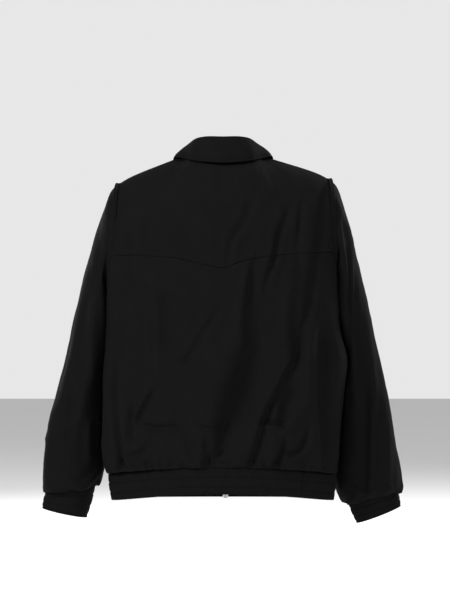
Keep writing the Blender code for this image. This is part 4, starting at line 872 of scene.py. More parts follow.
# ------------------------------------------------------------------ fronts
# Two plain fronts from the shoulder seam to the waistband, each turned under along the zip. They are
# hidden in the photo and hang as the back does, with its kind of creases.
FRONT_FOLDS = [
    fold(0.4, (175, -85, 0.5, 20), (160, -150, 4.5, 16), (138, -230, 5.5, 13), (112, -320, 5, 12),
          (84, -400, 6, 10), (70, -450, 3.5, 10)),
    fold(-0.4, (-170, -80, 0.5, 18), (-158, -160, 3.8, 15), (-140, -250, 4.6, 12), (-120, -340, 5.5, 10),
          (-104, -420, 6.2, 10), (-92, -480, 4, 10)),
    fold(0.3, (205, -140, 0, 14), (204, -230, 3, 13), (208, -320, 2.6, 14), (210, -400, 0, 14)),
    fold(-0.2, (-204, -130, 0, 14), (-200, -220, 3.4, 14), (-204, -330, 3, 14), (-209, -420, 0.6, 14)),
    fold(0.2, (60, -180, 0, 14), (52, -260, 2.6, 13), (50, -340, 2.2, 14), (55, -390, 0, 14)),
    fold(0.0, (-66, -200, 0, 14), (-58, -280, 2.4, 14), (-56, -370, 2.4, 15), (-60, -430, 0, 15)),
    fold(-0.3, (48, -420, 0.8, 13), (60, -490, 6, 13), (68, -560, 7.5, 10), (70, -620, 6, 9),
          (70, -640, 4, 9)),
    fold(0.3, (-46, -450, 0.8, 13), (-58, -520, 5.5, 12), (-62, -580, 7, 9), (-60, -632, 5.5, 8)),
    fold(0.5, (150, -470, 1, 10), (138, -520, 5, 9), (122, -570, 6.2, 8), (116, -625, 5, 7)),
    fold(-0.5, (-126, -500, 1, 10), (-136, -550, 5.2, 8), (-130, -595, 6, 7), (-124, -630, 4.5, 7)),
    fold(0.7, (178, -560, 1, 8), (160, -590, 6, 6.5), (176, -606, 5, 6), (196, -602, 0, 7)),
    fold(-0.7, (-180, -570, 1, 8), (-166, -598, 5.5, 6.5), (-184, -612, 4.5, 6), (-202, -604, 0, 7)),
    fold(0.8, (150, -545, 0, 6), (110, -552, 3.4, 6), (80, -548, 0, 6)),
    fold(0.8, (-90, -550, 0, 6), (-120, -556, 3.2, 6), (-152, -549, 0, 6)),
    fold(0.0, (184, -400, 0, 10), (190, -470, 3.6, 10), (192, -530, 2.6, 10), (190, -570, 0, 10)),
    fold(0.0, (-190, -410, 0, 12), (-194, -480, 3.4, 12), (-190, -545, 0, 12)),
]


def beside_zip(side, level, distance):
    """Place across the front, at each level, that lies a distance from the middle of the zip."""
    steps = np.linspace(0.0, 0.2, 41)
    sign = SIDES[side]["sign"]
    x = body(-1, sign * steps[None, :], level[:, None])[..., 0] - ZIP_X
    return crossing(steps, sign * x - distance)


FRONT_EDGES = [(0, False, *TURNED), (0, True, *TURNED), (1, False, *TURNED), (1, True, *SET_IN)]
FRONT_SEED = {"left": 31, "right": 47}
FRONT_STITCH = 0.0060                   # from the front's edge
down_front = np.concatenate([np.linspace(0.0, 1.0, 73), 1 + np.linspace(0.0, 1.0, 145)[1:] ** 0.95])
beyond_neck = np.linspace(NECK_SHARE[-1], 1.0, 79)[1:]
for side, size in SIDES.items():
    edge = beside_zip(side, down_front, FRONT_EDGE)[:, None]
    neck = edge + (NECK_SHARE[-1] - edge) * np.linspace(0.0, 1.0, 55)
    shoulder = np.broadcast_to(beyond_neck, (len(edge), len(beyond_neck)))
    across = np.concatenate([neck, shoulder], 1) * size["sign"]
    level = np.broadcast_to(down_front[:, None], across.shape)
    plain, normal = body(-1, across, level), body_normal(-1, across, level)
    outer, rub = drape(plain, normal, FRONT_FOLDS, FRONT_SEED[side], FRONT_EDGES, level, waist=True)
    front = shell(f"front_{side}_cloth", outer, normal, CLOTH_WALL, cloth_look, flat_cut(plain), rub)
    sew(front, [f"front_{side}"])
    stitches(f"front_{side}_stitches", [inset(outer, normal, 1, False, FRONT_STITCH)])


# ------------------------------------------------------------------ sleeves
# One-piece sleeves set into dropped armholes. They are full, hang a little forward, and bag over the
# cuffs, where their width is gathered in. Rings run from the armhole (0) to the cuff seam (1).
ARM_ROOM = 0.006                        # kept between arm and body
SOFT_TOUCH = 0.005
SLEEVE_SQUARE = 0.6                     # how much squarer than an ellipse a ring is
SLEEVE_HEAD = (0.0045, 0.0024)          # depth and width of the groove at each end
SLEEVE_END = (0.0022, 0.0030)
SLEEVE_SEED = {"left": 61, "right": 83}
SLEEVE_LIP = ((0.0060, 0.0032), (0.0030, 0.0028), (0.0000, 0.0022))     # reach and drop of each row
SLEEVE_COLUMNS = ("along", "out_x", "out_z", "in_x", "in_z", "mid_y", "back", "front")
SLEEVES = {
    "left": table(
        SLEEVE_COLUMNS,
        (0.000, 0.2140, -0.0450, 0.2230, -0.2850, -0.0225, 0.088, 0.084),
        (0.055, 0.2265, -0.0590, 0.2290, -0.2870, -0.0240, 0.088, 0.084),
        (0.120, 0.2430, -0.0960, 0.2330, -0.2930, -0.0280, 0.087, 0.084),
        (0.200, 0.2593, -0.1374, 0.2340, -0.3030, -0.0330, 0.085, 0.083),
        (0.300, 0.2774, -0.1989, 0.2330, -0.3200, -0.0390, 0.081, 0.081),
        (0.420, 0.2990, -0.2830, 0.2300, -0.3550, -0.0460, 0.077, 0.078),
        (0.560, 0.3220, -0.3830, 0.2300, -0.4200, -0.0540, 0.072, 0.072),
        (0.700, 0.3477, -0.4859, 0.2380, -0.5000, -0.0620, 0.067, 0.067),
        (0.820, 0.3655, -0.5700, 0.2440, -0.5700, -0.0680, 0.065, 0.065),
        (0.900, 0.3715, -0.6300, 0.2480, -0.6200, -0.0710, 0.064, 0.064),
        (0.940, 0.3730, -0.6580, 0.2525, -0.6420, -0.0720, 0.063, 0.063),
        (0.970, 0.3725, -0.6750, 0.2565, -0.6595, -0.0725, 0.059, 0.059),
        (0.983, 0.3700, -0.6785, 0.2600, -0.6662, -0.0730, 0.054, 0.054),
        (1.000, 0.3665, -0.6715, 0.2634, -0.6565, -0.0730, 0.048, 0.048)),
    "right": table(
        SLEEVE_COLUMNS,
        (0.000, 0.2170, -0.0350, 0.2215, -0.2850, -0.0225, 0.088, 0.084),
        (0.055, 0.2290, -0.0490, 0.2270, -0.2880, -0.0240, 0.088, 0.084),
        (0.120, 0.2440, -0.0860, 0.2310, -0.2960, -0.0280, 0.087, 0.084),
        (0.200, 0.2590, -0.1300, 0.2330, -0.3080, -0.0330, 0.085, 0.083),
        (0.300, 0.2760, -0.1950, 0.2330, -0.3280, -0.0390, 0.081, 0.081),
        (0.420, 0.2970, -0.2850, 0.2310, -0.3650, -0.0460, 0.077, 0.078),
        (0.560, 0.3170, -0.3700, 0.2300, -0.4250, -0.0540, 0.072, 0.072),
        (0.700, 0.3415, -0.4859, 0.2280, -0.5100, -0.0620, 0.067, 0.067),
        (0.820, 0.3559, -0.5679, 0.2300, -0.5850, -0.0680, 0.065, 0.065),
        (0.900, 0.3640, -0.6280, 0.2310, -0.6450, -0.0710, 0.064, 0.064),
        (0.940, 0.3665, -0.6540, 0.2360, -0.6700, -0.0720, 0.063, 0.063),
        (0.970, 0.3668, -0.6720, 0.2460, -0.6930, -0.0725, 0.059, 0.059),
        (0.985, 0.3645, -0.6765, 0.2530, -0.7015, -0.0730, 0.054, 0.054),
        (1.000, 0.3600, -0.6695, 0.2585, -0.6960, -0.0730, 0.048, 0.048)),
}
# Creases of the sleeves at their x and z, behind (as photographed) and in front.
SLEEVE_FOLDS = {
    ("left", 1): [
        fold(0.7, (254, -240, 0, 14), (260, -291, 11.2, 16), (269, -353, 16, 18), (275, -408, 16, 18),
              (285, -465, 12.8, 16), (295, -517, 8, 13), (301, -547, 1.6, 11)),
        fold(0.0, (277, -318, 0, 6), (277, -373, -3.8, 6), (279, -428, -3.8, 6), (279, -461, 0, 7)),
        fold(0.0, (322, -322, 0, 11), (328, -383, -5.9, 11), (338, -455, -5.9, 11), (348, -517, 0, 11)),
        fold(0.0, (269, -527, 1, 5), (260, -530, 4.5, 4.5), (250, -534, 4.5, 4.5), (242, -537, 1, 5)),
        fold(-0.3, (275, -510, 0, 7), (275, -535, 3, 7), (276, -568, 4, 7), (275, -601, 4, 7),
              (271, -621, 0, 8)),
        fold(0.0, (361, -568, 2, 8), (348, -564, 4, 7), (330, -554, 4, 7), (312, -541, 0, 8)),
        fold(0.0, (324, -629, 0, 7), (316, -650, 3, 6.5), (303, -662, 5, 6.5), (293, -666, 5, 6.5),
              (281, -660, 5, 6.5), (269, -648, 5, 6.5), (256, -631, 3, 7), (246, -611, 0, 7)),
        fold(0.0, (353, -588, 0, 4.5), (355, -625, -3, 4.5), (353, -658, -2, 4.5)),
        fold(0.0, (228, -121, 2, 6), (228, -178, 4, 6), (236, -240, 4.5, 6), (242, -322, 4.5, 6),
              (244, -383, 4, 6), (244, -435, 1, 6)),
        fold(0.0, (246, -107, 0, 7), (250, -141, -2.4, 7), (254, -203, -2.4, 7), (256, -264, 0, 7)),
    ],
    ("right", 1): [
        fold(0.0, (-217, -51, 0.5, 6), (-225, -74, 3.5, 6), (-240, -105, 4.5, 5.5), (-252, -137, 5, 5.5),
              (-258, -164, 2, 6)),
        fold(0.0, (-228, -86, 0.6, 6), (-230, -121, 4.8, 6), (-234, -158, 6, 7), (-240, -203, 8.4, 9),
              (-244, -250, 10, 10), (-246, -291, 10, 10), (-252, -342, 8.4, 9), (-256, -383, 1.2, 8)),
        fold(0.0, (-253, -158, 0, 4), (-254, -219, -2.5, 4), (-256, -301, -2.5, 4), (-258, -353, 0, 4)),
        fold(0.0, (-260, -148, 0, 5), (-261, -209, 4, 5), (-262, -281, 5, 5), (-264, -353, 5, 5),
              (-266, -424, 4, 5.5), (-269, -486, 2, 6), (-271, -527, 0, 6)),
        fold(0.3, (-303, -416, 0, 8), (-305, -465, 6.5, 8), (-305, -527, 8.6, 7.5), (-305, -599, 8.6, 7.5),
              (-303, -650, 7.8, 7), (-301, -679, 5.2, 7)),
        fold(0.0, (-332, -506, 0, 9), (-336, -588, 5.2, 9), (-336, -650, 5.2, 8), (-338, -674, 3.9, 7)),
        fold(0.0, (-305, -326, 0, 6), (-312, -373, -2.5, 6), (-320, -428, -2.5, 6), (-324, -465, 0, 6)),
        fold(0.3, (-273, -666, 1, 5.5), (-283, -674, 5.8, 5), (-297, -679, 5.8, 5), (-312, -670, 2, 5.5)),
        fold(0.0, (-330, -662, 1, 5), (-340, -668, 4.5, 4.5), (-351, -664, 1, 5)),
    ],
    ("left", -1): [
        fold(0.3, (232, -90, 0, 14), (246, -160, 3.6, 12), (258, -240, 4, 11), (266, -320, 1.8, 12)),
        fold(-0.3, (258, -350, 0, 16), (268, -410, 6.2, 13), (284, -450, 6, 11), (304, -474, 2.5, 10)),
        fold(0.5, (262, -455, 1, 10), (278, -500, 5, 10), (288, -560, 5, 9), (290, -640, 3, 9)),
        fold(0.0, (318, -500, 0, 11), (326, -570, 3.4, 10), (326, -640, 2.5, 9)),
    ],
    ("right", -1): [
        fold(-0.3, (-234, -80, 0, 14), (-246, -150, 3.4, 12), (-258, -230, 4.2, 11), (-264, -310, 1.5, 12)),
        fold(0.3, (-256, -370, 0, 16), (-268, -425, 6, 13), (-286, -460, 5.5, 11), (-304, -480, 2, 10)),
        fold(-0.5, (-258, -480, 1, 10), (-272, -530, 4.8, 10), (-282, -600, 4.8, 9), (-284, -670, 3, 9)),
        fold(0.0, (-312, -520, 0, 11), (-320, -590, 3.4, 10), (-320, -645, 2.5, 9)),
    ],
}
CUFF_GATHER = {"gap": 10.5, "height": 30, "depth": 2.2, "width": 3.4}
CUFF_BLOUSE = {"gap": 30, "height": 80, "depth": 2.8, "width": 10, "crowd": 0.5}


def sleeve_ring(side, turn, along):
    """Half a squared ellipse behind and half in front, between a ring's outermost and innermost point:
    the ellipse's radius is divided by the mean of its two shares to the power that squares it."""
    rows = SLEEVES[side]
    out = np.stack([read(rows, f"out_{axis}", along, "along") for axis in "xz"], -1)
    inside = np.stack([read(rows, f"in_{axis}", along, "along") for axis in "xz"], -1)
    square = 2 + SLEEVE_SQUARE * ease(along, 0.0, 0.35)
    grow = (np.abs(np.cos(turn)) ** square + np.abs(np.sin(turn)) ** square) ** (-1 / square)
    spot = inside + (out - inside) * (1 + np.cos(turn) * grow)[..., None] / 2
    depth = np.where(turn >= 0, read(rows, "back", along, "along"), read(rows, "front", along, "along"))
    y = read(rows, "mid_y", along, "along") + depth * np.sin(turn) * grow
    return np.stack([SIDES[side]["sign"] * spot[..., 0], y, spot[..., 1]], -1)


def clear_of_body(side, point, along):
    """Move a sleeve's inner points outward, by a softened maximum, until they clear the body's side."""
    level = 1 + np.clip((point[..., 2] - PIT_Z) / (SIDE_WAIST_Z - PIT_Z), 0.0, 1.0)
    sign = SIDES[side]["sign"]
    limit = ring_half_width(side, point[..., 1], level) + ARM_ROOM * np.clip(along / 0.22, 0.0, 1.0)
    short = limit - sign * point[..., 0]
    push = (short + np.sqrt(short ** 2 + SOFT_TOUCH ** 2)) / 2
    moved = point.copy()
    moved[..., 0] += sign * push * ease(along, 0.0, 0.20)
    return moved


def sleeve(side, turn, along):
    """A ring that still remembers the armhole's loop over the first quarter of the length."""
    start = sleeve_ring(side, turn, np.zeros_like(along))
    keep = 1 - ease(along, 0.0, 0.28)
    point = sleeve_ring(side, turn, along) + (armhole(side, turn) - start) * keep[..., None]
    return clear_of_body(side, point, along)


def with_lip(side, turn, outer, normal, plain, rub):
    """Three more rows before the armhole's: the seam allowance, turned in behind the body's cloth."""
    sign, level = SIDES[side]["sign"], np.abs(turn) / pi
    inward, under = (np.where((turn >= 0)[:, None], *pair) for pair in (
        [unit(body(face, sign * 0.97, level) - body(face, sign, level)) for face in (1, -1)],
        [body_normal(face, sign * 0.985, level) for face in (1, -1)]))
    lip = [outer[0] + inward * reach - under * drop for reach, drop in SLEEVE_LIP]
    count = len(lip)
    return (np.concatenate([lip, outer]), np.concatenate([[under] * count, normal]),
            np.concatenate([[plain[0]] * count, plain]), np.concatenate([[rub[0]] * count, rub]))


round_sleeve = np.linspace(-pi, pi, 205)[:-1]
down_sleeve = np.concatenate([0.9 * np.linspace(0.0, 1.0, 199), 0.9 + 0.1 * np.linspace(0.0, 1.0, 46)[1:]])
for side, size in SIDES.items():
    turn, along = np.meshgrid(round_sleeve, down_sleeve)
    plain = sleeve(side, turn, along)
    normal = outward(plain, around=True) * size["sign"]
    run = from_end(plain, 1, False)
    rise = from_end(plain, 0, True)
    behind = ease(np.sin(turn), -0.25, 0.05)
    ahead = ease(-np.sin(turn), -0.05, 0.25)
    x, z = plain[..., 0], plain[..., 2]
    keep = ease(along, 0.01, 0.09) * ease(rise, 0.000, 0.012)
    sink = creases(x, z, SLEEVE_FOLDS[side, 1]) * behind
    sink += creases(x, z, SLEEVE_FOLDS[side, -1]) * ahead
    sink = (sink - hang(run, z, SLEEVE_SEED[side])) * keep
    pleats = sum((gathers(run.max(), size["seed"], **kind) for kind in (CUFF_GATHER, CUFF_BLOUSE)), [])
    sink += creases(run, rise, pleats) * ease(rise, -0.002, 0.006)
    turned, rub = seam_sink(plain, [(0, False, *SLEEVE_HEAD), (0, True, *SLEEVE_END)])
    outer = plain - normal * (sink + turned)[..., None]
    outer, normal, plain, rub = with_lip(side, round_sleeve, outer, normal, plain, rub)
    sleeve_cloth = shell(f"sleeve_{side}_cloth", outer, normal, CLOTH_WALL, cloth_look, flat_cut(plain), rub,
                         around=True)
    sew(sleeve_cloth, [f"sleeve_{side}"])


# ------------------------------------------------------------------ shirred bands
# Waistband and cuffs are the same cloth over wide elastic, drawn up by stitching into fine upright
# pleats. Rows of stitching pinch the pleats, and between the rows the cloth puffs out.
# The band's tone, darker than the body cloth's, is painted shade in the pleats' valleys, and its second
# tone, lighter, is a painted highlight on their crests.
BAND_TONE = (0.0033, 0.0033, 0.0034)
BAND_CREST_HIGHLIGHT = (0.0058, 0.0058, 0.0060, 1.0)
BAND_WALL = 0.0024
PLEAT = 0.0033                          # one pleat to the next
PLEAT_HEIGHT = 0.0011
PUFFED = 0.0007
ROW_PINCH = 0.0017
LIP = 0.0045                            # hidden edge that runs up behind the cloth it is sewn to
LIP_TUCK = 0.0030
HEM_TURN = 0.0012                       # how far the last row turns in
CUFF_HEIGHT = 0.055
CUFF_BULGE = 0.0020
BAND_BULGE = 0.0015
BAND_HEIGHT = 0.053
BAND_HALF_WIDTH = {"seam": (0.2345, 0.2300), "hem": (0.2277, 0.2263)}
BAND_DEPTH = {"seam": (0.130, 0.130), "hem": (0.124, 0.126)}
BAND_STEPS = 33                         # grid rows from seam to hem
BAND_ROWS = (11, 23)                    # the ones that are stitched
PLAIN_ROWS = (2, 31)
CUFF_STEPS = 28
CUFF_ROWS = (10, 19, 26)
BAND_JOIN_DEPTH = 0.0012
BAND_JOIN_WIDTH = 0.0014
BAND_JOIN = -44.0                       # degrees round from the middle of the back
BAND_SIDE = 108.0
CUFF_SEED = {"left": 3, "right": 7}
BAND_SEED = 13
CUFF_COLUMNS = ("along", "out_x", "out_z", "in_x", "in_z", "mid_y", "half_depth")
CUFFS = {
    "left": table(
        CUFF_COLUMNS,
        (0.0, 0.3650, -0.6716, 0.2650, -0.6568, -0.0730, 0.0465),
        (1.0, 0.3755, -0.7134, 0.2842, -0.7329, -0.0760, 0.0420)),
    "right": table(
        CUFF_COLUMNS,
        (0.0, 0.3586, -0.6699, 0.2599, -0.6960, -0.0730, 0.0465),
        (1.0, 0.3690, -0.7090, 0.2785, -0.7442, -0.0760, 0.0420)),
}

band_look = woven("shirred_cloth", BAND_TONE, BAND_CREST_HIGHLIGHT, 0.80, 1.06)


def shirring(run, drop, height, rows, seed):
    """Height of the drawn-up cloth: round pleats, a power of a sine whose phase wanders from lane to
    lane, pinched flat at each row of stitching and puffed out in between. Also a mask of painted light:
    high on the pleats' crests, which take a painted highlight, and nil in the valleys, which keep the
    band's darker tone as painted shade."""
    lane = np.searchsorted(rows, drop)
    wander = 0.45 * noise(run, drop * 0, 0.016, seed) + 0.30 * noise(run, lane * 0.5 + 0.25, 0.009, seed + 1)
    pleat = np.abs(np.sin(pi * (run / PLEAT + wander))) ** 0.6
    tall = 0.75 + 0.35 * noise(run, lane * 0.7, 0.007, seed + 2)
    pinch = sum(np.exp(-((drop - row) * height / ROW_PINCH) ** 2) for row in rows)
    lift = PLEAT_HEIGHT * (tall * pleat * (1 - 0.65 * pinch) - 0.5) + PUFFED * (1 - pinch)
    return lift, pleat ** 3 * (1 - 0.8 * pinch)


def cuff_point(side, turn, along):
    """Ellipse between a cuff's outermost and innermost point, straight from seam to hem."""
    rows = CUFFS[side]
    at = {name: rows[name][0] + (rows[name][1] - rows[name][0]) * along for name in CUFF_COLUMNS[1:]}
    across = (1 + np.cos(turn)) / 2
    x = at["in_x"] + (at["out_x"] - at["in_x"]) * across
    z = at["in_z"] + (at["out_z"] - at["in_z"]) * across
    return np.stack([SIDES[side]["sign"] * x, at["mid_y"] + at["half_depth"] * np.sin(turn), z], -1)


def tuck(drop, height):
    """How far the hidden lip above the seam stands inward, eased from nothing at the seam."""
    return LIP_TUCK * ease(-drop * height, 0.0, LIP * 0.5)


CUFF_DROPS = [-0.09, -0.05, *np.linspace(0.0, 1.0, CUFF_STEPS + 1), 1.0]    # lip, seam to hem, turn
for side, size in SIDES.items():
    turn, drop = np.meshgrid(np.linspace(-pi, pi, 481)[:-1], CUFF_DROPS)
    plain = cuff_point(side, turn, drop)
    out = unit(plain - cuff_point(side, turn + pi, drop))
    run = from_end(plain, 1, False)
    lift, painted_crest_light = shirring(run, drop, CUFF_HEIGHT, np.divide(CUFF_ROWS, CUFF_STEPS), CUFF_SEED[side])
    lift = lift * ease(drop, 0.0, 0.06)
    lift += CUFF_BULGE * np.sin(pi * np.clip(drop, 0, 1)) - tuck(drop, CUFF_HEIGHT)
    lift[-1] -= HEM_TURN
    outer = plain + out * lift[..., None]
    # The crest mask becomes the point attribute that paints a highlight on the cuff's pleat crests.
    cuff = shell(f"cuff_{side}_cloth", outer, out, BAND_WALL, band_look,
                 flat_cut(plain) * np.array([1.5, 1.0]), painted_crest_light, around=True)
    sew(cuff, [f"cuff_{side}"])
    stitches(f"cuff_{side}_stitches", [(outer[2 + row], out[2 + row]) for row in CUFF_ROWS])


def band_seam_z(across):
    """Height of the waist seam, which rides up at the middle of the back."""
    middle = np.where(np.cos(across) >= 0, MIDDLE["back_z"][-1], MIDDLE["front_z"][-1])
    return middle + (SIDE_WAIST_Z - middle) * np.sin(across) ** 2


def band_point(turn, drop):
    """Upright oval: turn from the middle of the back, drop 0 at the seam to 1 at the hem."""
    at = [np.interp(drop, (0, 1), (top, low)) for top, low in
          zip(BAND_HALF_WIDTH["seam"] + BAND_DEPTH["seam"], BAND_HALF_WIDTH["hem"] + BAND_DEPTH["hem"])]
    x = np.sin(turn) * np.where(np.sin(turn) >= 0, at[0], at[1])
    y = np.cos(turn) * np.where(np.cos(turn) >= 0, at[2], at[3])
    x = x + ZIP_X * np.clip(-np.cos(turn), 0, 1)
    return np.stack([x, y, band_seam_z(turn) - BAND_HEIGHT * drop], -1)


def band_out(turn):
    """Level direction square to the waistband."""
    ahead = band_point(turn + 1e-3, turn * 0 + 0.5) - band_point(turn - 1e-3, turn * 0 + 0.5)
    ahead[..., 2] = 0.0
    return unit(np.cross([0.0, 0.0, 1.0], ahead))


hem_angle = 180 - np.degrees(np.arcsin(FRONT_EDGE / BAND_HALF_WIDTH["hem"][0]))
BAND_DROPS = [-0.085, -0.05, *np.linspace(0.0, 1.0, BAND_STEPS + 1), 1.0]
BAND_LENGTHS = (                        # name, start and end in degrees, grid columns, whether pleated
    ("waistband_back_left", BAND_JOIN, BAND_SIDE, 780, 1.0),
    ("waistband_back_right", -BAND_SIDE, BAND_JOIN, 330, 1.0),
    ("waistband_front_left", BAND_SIDE, hem_angle, 120, 0.0),
    ("waistband_front_right", -hem_angle, -BAND_SIDE, 120, 0.0),
)
for name, start, end, steps, pleats in BAND_LENGTHS:
    turn, drop = np.meshgrid(np.radians(np.linspace(start, end, steps + 1)), BAND_DROPS)
    plain = band_point(turn, drop)
    out = band_out(turn)
    run = from_end(plain[2:3], 1, False) + np.zeros_like(drop)
    lift, painted_crest_light = shirring(run, drop, BAND_HEIGHT, np.divide(BAND_ROWS, BAND_STEPS), BAND_SEED)
    lift = pleats * lift * ease(drop, 0.0, 0.05)
    lift += BAND_BULGE * np.sin(pi * np.clip(drop, 0, 1)) - tuck(drop, BAND_HEIGHT)
    for last in (False, True):
        lift -= BAND_JOIN_DEPTH * np.exp(-(from_end(plain, 1, last) / BAND_JOIN_WIDTH) ** 2)
    lift[-1] -= HEM_TURN
    outer = plain + out * lift[..., None]
    cut = flat_cut(plain) * np.array([1.0 + 0.5 * pleats, 1.0])
    # The crest mask becomes the point attribute that paints a highlight on the band's pleat crests.
    band = shell(f"{name}_cloth", outer, out, BAND_WALL, band_look, cut, pleats * painted_crest_light)
    width = from_end(plain, 1, False)[2, -1] * (1.0 + 0.25 * pleats)
    sew(band, [name])
    rows = BAND_ROWS if pleats else PLAIN_ROWS
    stitches(f"{name}_stitches", [(outer[2 + row], out[2 + row]) for row in rows])


# ------------------------------------------------------------------ collar
# One folded piece: its stand rises inside the neck seam, and its leaf turns down over the yoke and
# ends in a point each side of the zip. Its edge is turned and stitched five millimetres in.
COLLAR_WALL = 0.0022
COLLAR_FOLD = 0.0034                    # radius of the fold
COLLAR_GAP = 0.0010                     # between the stand's foot and the neck seam
STAND_FOOT = (0.0025, 0.0045)           # how far the stand steps in, and up, from its foot
LEAF_BOW = 0.003
NECK_CENTRE = [0.0, -0.02, 0.0]
COLLAR_STITCH = {"from_edge": 0.0055, "groove_from_edge": 0.0050, "depth": 0.0005, "width": 0.0012}
COLLAR_WAVE = 0.0010
CREASED = (0.0005, 0.0012)              # depth and width of the leaf's pressed edge
COLLAR = table(
    ("turn", "fold_x", "fold_y", "fold_z", "face", "across", "level", "lift"),
    (-35, -0.037, 0.056, 0.0495, 1, -0.20, 0.089, 0.0044),
    (0, 0.000, 0.064, 0.0490, 1, 0.00, 0.094, 0.0046),
    (35, 0.037, 0.056, 0.0495, 1, 0.20, 0.089, 0.0044),
    (65, 0.0570, 0.032, 0.0455, 1, 0.36, 0.064, 0.0040),
    (90, 0.0665, -0.002, 0.0355, 1, 0.470, 0.004, 0.0036),
    (120, 0.063, -0.047, 0.0170, -1, 0.53, 0.115, 0.0042),
    (150, 0.040, -0.086, -0.0110, -1, 0.38, 0.190, 0.0044),
    (177, 0.007, -0.108, -0.0440, -1, 0.18, 0.230, 0.0044),
)


def neck_seam(turn):
    """Neck seam by turn from the middle of the back, 0 to pi on the wearer's left."""
    quarter = turn / (pi / 2)
    back = body(1, np.clip(quarter, -1, 1) * NECK_SHARE[1], np.zeros_like(turn))
    ahead = np.clip(2 - np.abs(quarter), 0, 1) * np.sign(turn)
    front = body(-1, ahead * NECK_SHARE[-1], np.zeros_like(turn))
    return np.where((np.cos(turn) >= 0)[..., None], back, front)


def neck_normal(turn):
    """Outward direction of the panel at the neck seam, blended from back to front at the shoulder."""
    quarter = turn / (pi / 2)
    level = np.zeros_like(turn)
    back = body_normal(1, np.clip(quarter, -1, 1) * NECK_SHARE[1], level)
    ahead = np.clip(2 - np.abs(quarter), 0, 1) * np.sign(turn) * NECK_SHARE[-1]
    front = body_normal(-1, ahead, level)
    share = ease(np.abs(quarter), 0.94, 1.06)[..., None]
    return unit(back * (1 - share) + front * share)


def collar_profile(turn):
    """Nine rows of the collar's middle skin: up from the neck seam, over the fold and down the leaf,
    bowed a little outward, to its edge."""
    sign = np.where(turn >= 0, 1.0, -1.0)
    degrees = np.abs(np.degrees(turn))
    fold_line = np.stack([read(COLLAR, f"fold_{axis}", degrees, "turn") for axis in "xyz"], -1)
    fold_line[:, 0] *= sign
    leaf = np.zeros((len(turn), 3))
    edge_rows = list(zip(*(COLLAR[name] for name in ("face", "across", "level", "lift"))))
    for hand in (1.0, -1.0):
        edge = [body(face, hand * across, level) + body_normal(face, hand * across, level) * lift
                for face, across, level, lift in edge_rows]
        along = np.stack([smooth(degrees, COLLAR["turn"], column) for column in np.array(edge).T], -1)
        leaf = np.where((sign == hand)[:, None], along, leaf)
    panel = neck_normal(turn)
    away = unit(np.cross(panel, neck_seam(turn + 0.01) - neck_seam(turn - 0.01)))
    foot = neck_seam(turn) - away * COLLAR_GAP - panel * COLLAR_WALL / 2
    top = unit(fold_line - foot)
    radial = unit((fold_line - NECK_CENTRE) * [1.0, 1.0, 0.0])
    out = unit(radial - top * (radial * top).sum(-1, keepdims=True))
    inner_top = fold_line - (top + out) * COLLAR_FOLD
    outer_top = fold_line - (top - out) * COLLAR_FOLD
    base = foot - away * STAND_FOOT[0] + unit(inner_top - foot) * STAND_FOOT[1]
    lower, bow = leaf - outer_top, out * LEAF_BOW
    return np.array([foot, base, base + (inner_top - base) * 0.55, inner_top, fold_line, outer_top,
                     outer_top + lower * 0.33 + bow, outer_top + lower * 0.68 + bow, leaf])


front_turn = [pi - beside_zip(side, np.zeros(1), FRONT_EDGE)[0] / NECK_SHARE[-1] * pi / 2 for side in SIDES]
turns = np.linspace(-front_turn[1], front_turn[0], 241)
points = collar_profile(turns)
rows = np.concatenate([np.linspace(0, 3, 19), np.linspace(3, 5, 19)[1:], np.linspace(5, 8, 37)[1:]])
low = np.clip(np.floor(rows).astype(int), 0, 7)
part = (rows - low)[:, None, None]
slope = np.gradient(points, axis=0)
rise = part * part * (3 - 2 * part)
middle = (points[low] * (1 - rise) + points[low + 1] * rise
          + slope[low] * part * (1 - part) ** 2 + slope[low + 1] * part * part * (part - 1))
normal = outward(middle)
normal[0] = -neck_normal(turns)
turned, rub = seam_sink(middle, [(0, True, *CREASED), (1, False, *CREASED), (1, True, *CREASED)])
hem = from_end(middle, 0, True)
run = from_end(middle, 1, False)
wave = COLLAR_WAVE * noise(run, hem * 0.4, 0.035, 19) * ease(rows[:, None], 4.5, 6.5)
from_stitch = hem - COLLAR_STITCH["groove_from_edge"]
groove = COLLAR_STITCH["depth"] * np.exp(-(from_stitch / COLLAR_STITCH["width"]) ** 2)
outer = middle + normal * (COLLAR_WALL / 2 + wave - turned - groove)[..., None]
collar = shell("collar_cloth", outer, normal, COLLAR_WALL, cloth_look, flat_cut(middle), rub, sparse=1)
sew(collar, ["collar"])
stitches("collar_stitches", [inset(outer, normal, 0, True, COLLAR_STITCH["from_edge"])])


# ------------------------------------------------------------------ zip
# A metal zip on woven tapes behind the fronts' edges: single teeth in two meshing rows, open above the
# slider, with a pull tab on the slider and a box at the hem.
TAPE_TONE = (0.0040, 0.0040, 0.0042)
TAPE_RUBBED = (0.0050, 0.0050, 0.0052, 1.0)
METAL_DULL = (0.30, 0.30, 0.31, 1.0)
METAL_BRIGHT = (0.44, 0.44, 0.46, 1.0)
GRIME = 900.0                           # noise scale, by the metre
TAPE_WALL = 0.0008
TAPE_INNER = 0.0024                     # from the middle of the zip
TAPE_OUTER = 0.0170
TAPE_CORD = (0.0003, 0.0012)            # height and width of the bead along its edge
TEETH_PITCH = 0.0026
TOOTH = {"wide": 0.0034, "high": 0.0013, "deep": 0.0022}
TOOTH_SIDE = 0.0011                     # from the middle of the zip
TEETH_APART = 0.0019                    # how much further apart they are above the slider
CHAIN_TOP = 0.075                       # level at which the teeth begin to mesh
CHAIN_ENDS = 0.003
BOX_ABOVE = 0.0070                      # the box's height, from the hem up
TAPE_BAND_ROWS = 24                     # grid rows of the tape behind the waistband
TAPE_BAND_TOP = 0.15                    # of the way down the band
TAPE_CLEAR = 0.0006

